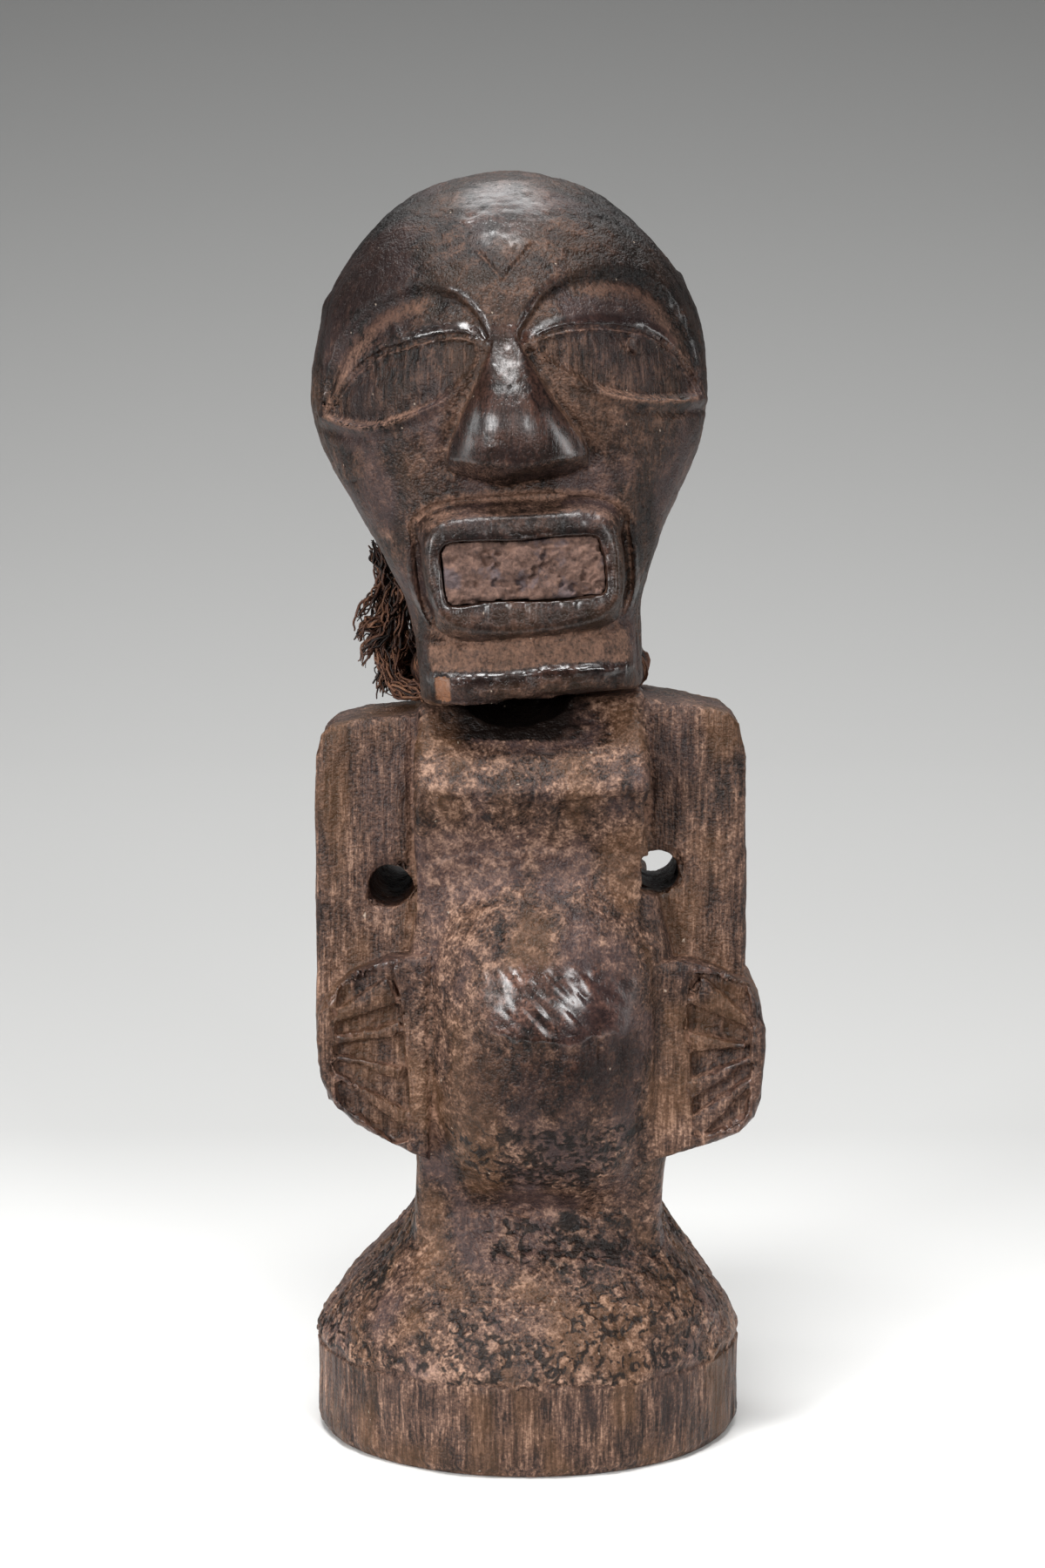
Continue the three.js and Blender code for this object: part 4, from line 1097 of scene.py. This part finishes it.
def strandTree():
    tree = bpy.data.node_groups.new("fibre strands", "GeometryNodeTree")
    sockets = tree.interface
    for name, kind in (("Geometry", "Geometry"), ("Strands", "Float"), ("Points", "Int"),
                       ("Thickness", "Float"), ("Wave", "Float"), ("Turns", "Float"), ("Outward", "Float"),
                       ("Shortest", "Float"), ("Seed", "Int"), ("Finish", "Material")):
        sockets.new_socket(name, in_out="INPUT", socket_type="NodeSocket" + kind)
    sockets.new_socket("Geometry", in_out="OUTPUT", socket_type="NodeSocketGeometry")
    entry = tree.nodes.new("NodeGroupInput")
    given = {socket.name: Wire(tree, socket) for socket in entry.outputs if socket.name}
    w = Wire(tree)

    def chance(low, high, salt):  # a random number for each strand
        ids = w.node("GeometryNodeInputNamedAttribute", {"data_type": "INT"}, {"Name": "strand"})
        return w.node("FunctionNodeRandomValue", {"data_type": "FLOAT"},
                      {2: low, 3: high, "ID": ids, "Seed": given["Seed"] + salt}, 1)

    def stored(many, name, value, kind="FLOAT", domain="POINT"):
        return w.node("GeometryNodeStoreNamedAttribute", {"data_type": kind, "domain": domain},
                      {"Geometry": many, "Name": name, "Value": value})

    line = {"Curve": given["Geometry"], "Count": given["Points"]}
    line = w.node("GeometryNodeResampleCurve", {"mode": "COUNT"}, line)
    amount = w.node("GeometryNodeInputRadius") * 1000 * given["Strands"] + 3
    many = w.node("GeometryNodeDuplicateElements", {"domain": "SPLINE"}, {"Geometry": line, "Amount": amount})
    many = stored(many, "strand", w.node("GeometryNodeInputIndex"), "INT", "CURVE")
    many = w.node("GeometryNodeTrimCurve", {"mode": "FACTOR"},
                  {"Curve": many, "End": chance(given["Shortest"], 1.0, 1)})
    along = w.node("GeometryNodeSplineParameter")
    many = stored(stored(many, "along", along), "tone", chance(0.0, 1.0, 2))
    normal = w.node("GeometryNodeInputNormal")
    other = w.vectorMaths("CROSS_PRODUCT", w.node("GeometryNodeInputTangent"), normal)
    angle = chance(0.0, 2 * math.pi, 3) + along * given["Turns"] * (2 * math.pi)
    reach = w.node("GeometryNodeInputRadius") * chance(0.0, 1.0, 4) ** given["Outward"]
    offset = w.vectorMaths("ADD", normal.scaled(reach * w.maths("COSINE", angle)),
                           other.scaled(reach * w.maths("SINE", angle)))
    apart = w.node("ShaderNodeCombineXYZ", None, {"X": chance(0.0, 40.0, 5), "Y": chance(0.0, 40.0, 6)})
    apart = w.vectorMaths("ADD", w.node("GeometryNodeInputPosition").scaled(230.0), apart)
    curl = w.node("ShaderNodeTexNoise", None, {"Vector": apart, "Scale": 1.0, "Detail": 2.0}, 1)
    curl = w.vectorMaths("SUBTRACT", curl, (0.5, 0.5, 0.5)).scaled(given["Wave"] * 0.004)
    offset = w.vectorMaths("ADD", offset, curl)
    many = w.node("GeometryNodeSetPosition", None, {"Geometry": many, "Offset": offset})
    thin = given["Thickness"] * 0.001 * chance(0.55, 1.35, 7) * (1.05 - along ** 4 * 0.5)
    section = w.node("GeometryNodeCurvePrimitiveCircle", None, {"Resolution": 4, "Radius": 1.0})
    made = w.node("GeometryNodeCurveToMesh", None,
                  {"Curve": many, "Profile Curve": section, "Scale": thin, "Fill Caps": True})
    made = w.node("GeometryNodeRealizeInstances", None, {"Geometry": made})
    made = w.node("GeometryNodeSetMaterial", None, {"Geometry": made, "Material": given["Finish"]})
    leave = tree.nodes.new("NodeGroupOutput")
    tree.links.new(made.socket, leave.inputs[0])
    return tree


def makeStrands(name, guide, tree, part):
    grow = guide.modifiers.new("strands", "NODES")
    grow.node_group = tree
    sockets = {item.name: item.identifier for item in tree.interface.items_tree if item.in_out == "INPUT"}
    for key, value in part.items():
        grow[sockets[key.capitalize()]] = value
    grow[sockets["Finish"]] = fibre
    bpy.context.view_layer.update()
    made = shownMesh(guide)
    made.name = name
    bpy.data.objects.remove(guide)
    piece = newObject(name, made)
    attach(piece, "root")
    say(f"{name}: {sum(len(p.vertices) - 2 for p in made.polygons)} triangles")
    return piece


# Finishes

def colour(*shares):  # red, green and blue as a paint chart gives them, 0 to 255, for the shader
    return (*(((c / 255 + 0.055) / 1.055) ** 2.4 if c > 10 else c / 255 / 12.92 for c in shares), 1)


class Finish:  # a material in the making, and what its sums can read
    def __init__(self, name):
        self.material = bpy.data.materials.new(name)
        self.material.use_nodes = True
        tree = self.material.node_tree
        self.inputs = tree.nodes["Principled BSDF"].inputs
        self.wire = Wire(tree)
        self.place = self.wire.node("ShaderNodeTexCoord", None, None, "Object")

    def attribute(self, key):
        return self.wire.node("ShaderNodeAttribute", {"attribute_name": key}, None, "Fac")

    def grains(self, size, stretch=(1, 1, 1), detail=3.0, rough=0.5, warp=0.0):  # size in mm
        scale = tuple(1000 / size / s for s in stretch)
        sized = self.wire.node("ShaderNodeMapping", None, {"Vector": self.place, "Scale": scale})
        values = {"Vector": sized, "Scale": 1.0, "Detail": detail, "Roughness": rough, "Distortion": warp}
        return self.wire.node("ShaderNodeTexNoise", None, values)

    def ramp(self, share, stops):
        return self.wire.node("ShaderNodeValToRGB", {"stops": stops}, {"Fac": share})

    def bumped(self, height, strength, depth):  # depth in metres
        values = {"Strength": strength, "Distance": depth, "Height": height}
        return self.wire.node("ShaderNodeBump", None, values)

    def feed(self, **links):
        for key, value in links.items():
            self.wire.tree.links.new(value.socket, self.inputs[key.replace("_", " ")])


woodLook = {
    "tones": [(0.0, colour(16, 10, 8)), (0.26, colour(46, 32, 26)), (0.54, colour(92, 68, 56)),
              (1.0, colour(178, 142, 120))],
    "ochre": colour(112, 78, 48), "plum": colour(102, 82, 82), "dust": colour(154, 118, 99),
    # next line: polished, then the colour that darkens painted shade and stains, then fresh
    "polished": colour(186, 168, 168), "stain": colour(108, 84, 72), "fresh": colour(150, 98, 64),
    "crack": colour(14, 9, 7), "speck": colour(196, 178, 160),
    "dustShare": 0.62, "crackShare": 0.9, "speckShare": 0.6,
    "roughness": 0.46, "polishedRoughness": 0.3, "specular": 0.24, "coat": 0.95, "coatRoughness": 0.27,
    "bump": 1.0, "bumpDepth": 0.0007,
}


def woodFinish():
    look = woodLook
    made = Finish("old dark wood")
    w, attribute, grains = made.wire, made.attribute, made.grains
    polish, dust, grain, body, warm = (attribute(key) for key in ("polish", "dust", "grain", "body", "warm"))
    mottle = grains(1.9, detail=2, rough=0.8)
    fine = grains(0.6, detail=1, rough=0.8)
    streak = grains(0.7, (1, 1, 11), detail=2, rough=0.75)
    rugged = mottle * 0.6 + fine * 0.4
    lined = streak * 0.7 + fine * 0.3
    pattern = rugged + (lined - rugged) * (grain * 0.8)
    tone = attribute("tone") + (pattern - 0.5) * (body * 0.6 + 1.6)
    hue = made.ramp(tone.clamped(), look["tones"])
    hue = w.mixed(warm.between(0.5, 0.75) * (body * 0.2 + 0.08), hue, look["ochre"])
    hue = w.mixed((1 - warm).between(0.5, 0.75) * (0.28 - grain * 0.2), hue, look["plum"])
    dusty = (dust * (pattern * 2.4) - 0.3).between(0.05, 0.75)
    hue = w.mixed(dusty * look["dustShare"], hue, look["dust"])
    shine = (polish * (0.1 + pattern * 1.7) - 0.1).between(0.1, 0.55)
    hue = w.mixed(shine, hue, look["polished"], "MULTIPLY")
    # painted shade, multiplied in darker along with stains
    hue = w.mixed(attribute("stain"), hue, look["stain"], "MULTIPLY")
    # the crack colour also paints the shadow under the chin
    hue = w.mixed(attribute("cracks").between(0.15, 0.7) * look["crackShare"], hue, look["crack"])
    split = w.mixed(streak, look["stain"], look["fresh"])
    hue = w.mixed(attribute("fresh").between(0.3, 0.6), hue, split)
    hue = w.mixed(attribute("specks").between(0.5, 0.9) * look["speckShare"], hue, look["speck"])
    rough = (look["roughness"] + dusty * 0.35 + (pattern - 0.5) * 0.6
             - shine * (look["roughness"] - look["polishedRoughness"])).clamped()
    normal = made.bumped(pattern * (1 - polish * 0.75), look["bump"], look["bumpDepth"])
    made.feed(Base_Color=hue, Roughness=rough, Normal=normal, Coat_Weight=shine * look["coat"])
    made.inputs["Specular IOR Level"].default_value = look["specular"]
    made.inputs["Coat Roughness"].default_value = look["coatRoughness"]
    return made.material


pasteColours = {
    "tones": [(0.3, colour(30, 21, 18)), (0.47, colour(98, 75, 66)), (0.68, colour(142, 110, 95))],
    "grey": colour(76, 68, 74), "greyShare": 0.7, "roughness": 0.95, "bump": 0.7, "bumpDepth": 0.0009,
}


def pasteFinish():
    look = pasteColours
    made = Finish("dry packed paste")
    lumps = made.grains(2.4, detail=6, rough=0.7, warp=0.4)
    crumbs = made.grains(0.7, detail=4, rough=0.7)
    patches = made.grains(5.5, detail=3, rough=0.6)
    hue = made.ramp(lumps * 0.6 + crumbs * 0.4, look["tones"])
    hue = made.wire.mixed(patches.between(0.52, 0.66) * look["greyShare"], hue, look["grey"])
    rough = look["roughness"] - patches.between(0.55, 0.68) * 0.35
    normal = made.bumped(lumps * 0.6 + crumbs * 0.5, look["bump"], look["bumpDepth"])
    made.feed(Base_Color=hue, Roughness=rough.clamped(), Normal=normal)
    return made.material


fibreColours = {
    "tones": [(0.12, colour(26, 16, 12)), (0.55, colour(88, 54, 38)), (0.97, colour(164, 118, 88))],
    "tip": colour(26, 16, 12), "tipShare": 0.35, "roughness": 0.45, "bump": 0.4, "bumpDepth": 0.0002,
}


def fibreFinish():
    look = fibreColours
    made = Finish("plant fibre")
    flecks = made.grains(1.1, detail=4, rough=0.7)
    share = (made.attribute("tone") * 0.75 + flecks * 0.7 - 0.32).clamped()
    hue = made.ramp(share, look["tones"])
    hue = made.wire.mixed(made.attribute("along").between(0.55, 1.0) * look["tipShare"], hue, look["tip"])
    normal = made.bumped(made.grains(0.15, (1, 1, 4)), look["bump"], look["bumpDepth"])
    made.feed(Base_Color=hue, Roughness=(look["roughness"] + flecks * 0.4).clamped(), Normal=normal)
    return made.material


wood, dryPaste, fibre = woodFinish(), pasteFinish(), fibreFinish()
for part in figure:
    part.data.materials.append(wood)
paste.data.materials.append(dryPaste)


def makeFibres():
    look = fibreLook
    tree = strandTree()
    turns = np.linspace(0, 2 * math.pi, look["ringSteps"], endpoint=False)
    circle = [(ring["x"] + ring["rx"] * math.cos(turn), ring["y"] + ring["ry"] * math.sin(turn), ring["z"])
              for turn in turns]
    guide = guideLines("ring guide", [circle], [[look["ringSpread"]] * len(circle)], True)
    wound = makeStrands("wound_neck_ring", guide, tree, look["ring"])
    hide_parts("neck_binding")
    lines = [smoothLine(line, 5) for line in look["locks"]]
    spreads = [np.interp(np.linspace(0, 1, len(line)), np.linspace(0, 1, len(spread)), spread)
               for line, spread in zip(lines, look["spreads"])]
    guide = guideLines("tuft guide", lines, spreads, False)
    frayed = makeStrands("frayed_tuft", guide, tree, look["tuft"])
    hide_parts("fibre_tuft")


makeFibres()
say("fibres made")


# Floor, backdrop with a painted light falloff, and soft studio light

stageLook = {
    "front": -0.12, "bend": 1.1, "radius": 0.9, "top": 2.6, "wide": 3.0,
    # a painted light falloff on the backdrop: pale near the floor, darker up the sweep
    "falloffGreys": [(0.0, 0.88), (0.05, 0.74), (0.093, 0.58), (0.2, 0.6), (0.33, 0.65), (0.6, 0.46), (0.82, 0.32),
              (1.0, 0.215)],
    "steps": 16, "yellow": 0.985, "away": 0.28, "height": 0.84, "offset": 0.02, "roughness": 0.9,
}


def makeStage():
    look = stageLook
    path = [(look["front"], 0), (look["bend"], 0)]
    for i in range(1, look["steps"] + 1):
        turn = math.radians(90 * i / look["steps"])
        path.append((look["bend"] + look["radius"] * math.sin(turn), look["radius"] * (1 - math.cos(turn))))
    path.append((look["bend"] + look["radius"], look["top"]))
    points = [(side * look["wide"], y, z) for y, z in path for side in (-1, 1)]
    faces = [(2 * i, 2 * i + 1, 2 * i + 3, 2 * i + 2) for i in range(len(path) - 1)]
    mesh = bpy.data.meshes.new("backdrop")
    mesh.from_pydata(points, [], faces)
    backdrop = newObject("backdrop", smoothed(mesh))
    paperWithPaintedFalloff = Finish("paperWithPaintedFalloff")
    place = {"Vector": paperWithPaintedFalloff.place}
    away, height = (paperWithPaintedFalloff.wire.node("ShaderNodeSeparateXYZ", None, place, way) for way in "YZ")
    # painted light falloff, darker further away and higher up
    share = away * look["away"] + height * look["height"] + look["offset"]
    falloffGreys = [(at, (grey, grey, grey * look["yellow"], 1)) for at, grey in look["falloffGreys"]]
    paperWithPaintedFalloff.feed(Base_Color=paperWithPaintedFalloff.ramp(share.clamped(), falloffGreys))
    paperWithPaintedFalloff.inputs["Roughness"].default_value = look["roughness"]
    mesh.materials.append(paperWithPaintedFalloff.material)


lightLook = {  # place, aim, width, height, power
    "left": ((-0.5, -0.68, 0.3), (0, 0, 0.12), 0.16, 0.3, 5.3),
    "right": ((0.26, -0.82, 0.31), (0, 0, 0.12), 0.1, 0.22, 3.0),
    "leftSide": ((-0.75, -0.12, 0.24), (0, 0, 0.13), 0.12, 0.4, 0.9),
    "rightSide": ((0.72, -0.1, 0.24), (0, 0, 0.13), 0.12, 0.4, 1.3),
    "top": ((-0.06, -0.34, 0.95), (0, 0, 0.18), 0.32, 0.18, 7.4),
    "floor": ((0.0, 0.9, 1.6), (0, 0.7, 0), 2.0, 1.2, 24),
}
roomLight = {"colour": (0.9, 0.92, 0.95, 1), "strength": 0.05}


def makeLights():
    for name, (place, aim, wide, high, power) in lightLook.items():
        data = bpy.data.lights.new(name, "AREA")
        data.shape = "RECTANGLE"
        data.size, data.size_y, data.energy = wide, high, power
        lamp = newObject(name, data)
        lamp.location = place
        lamp.rotation_euler = (Vector(aim) - Vector(place)).to_track_quat("-Z", "Y").to_euler()
    world = bpy.data.worlds.new("soft room")
    bpy.context.scene.world = world
    world.use_nodes = True
    background = world.node_tree.nodes["Background"]
    background.inputs["Color"].default_value = roomLight["colour"]
    background.inputs["Strength"].default_value = roomLight["strength"]
    bpy.context.scene.view_settings.view_transform = "Standard"


makeStage()
makeLights()
say("stage and light")

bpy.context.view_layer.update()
say("finished")
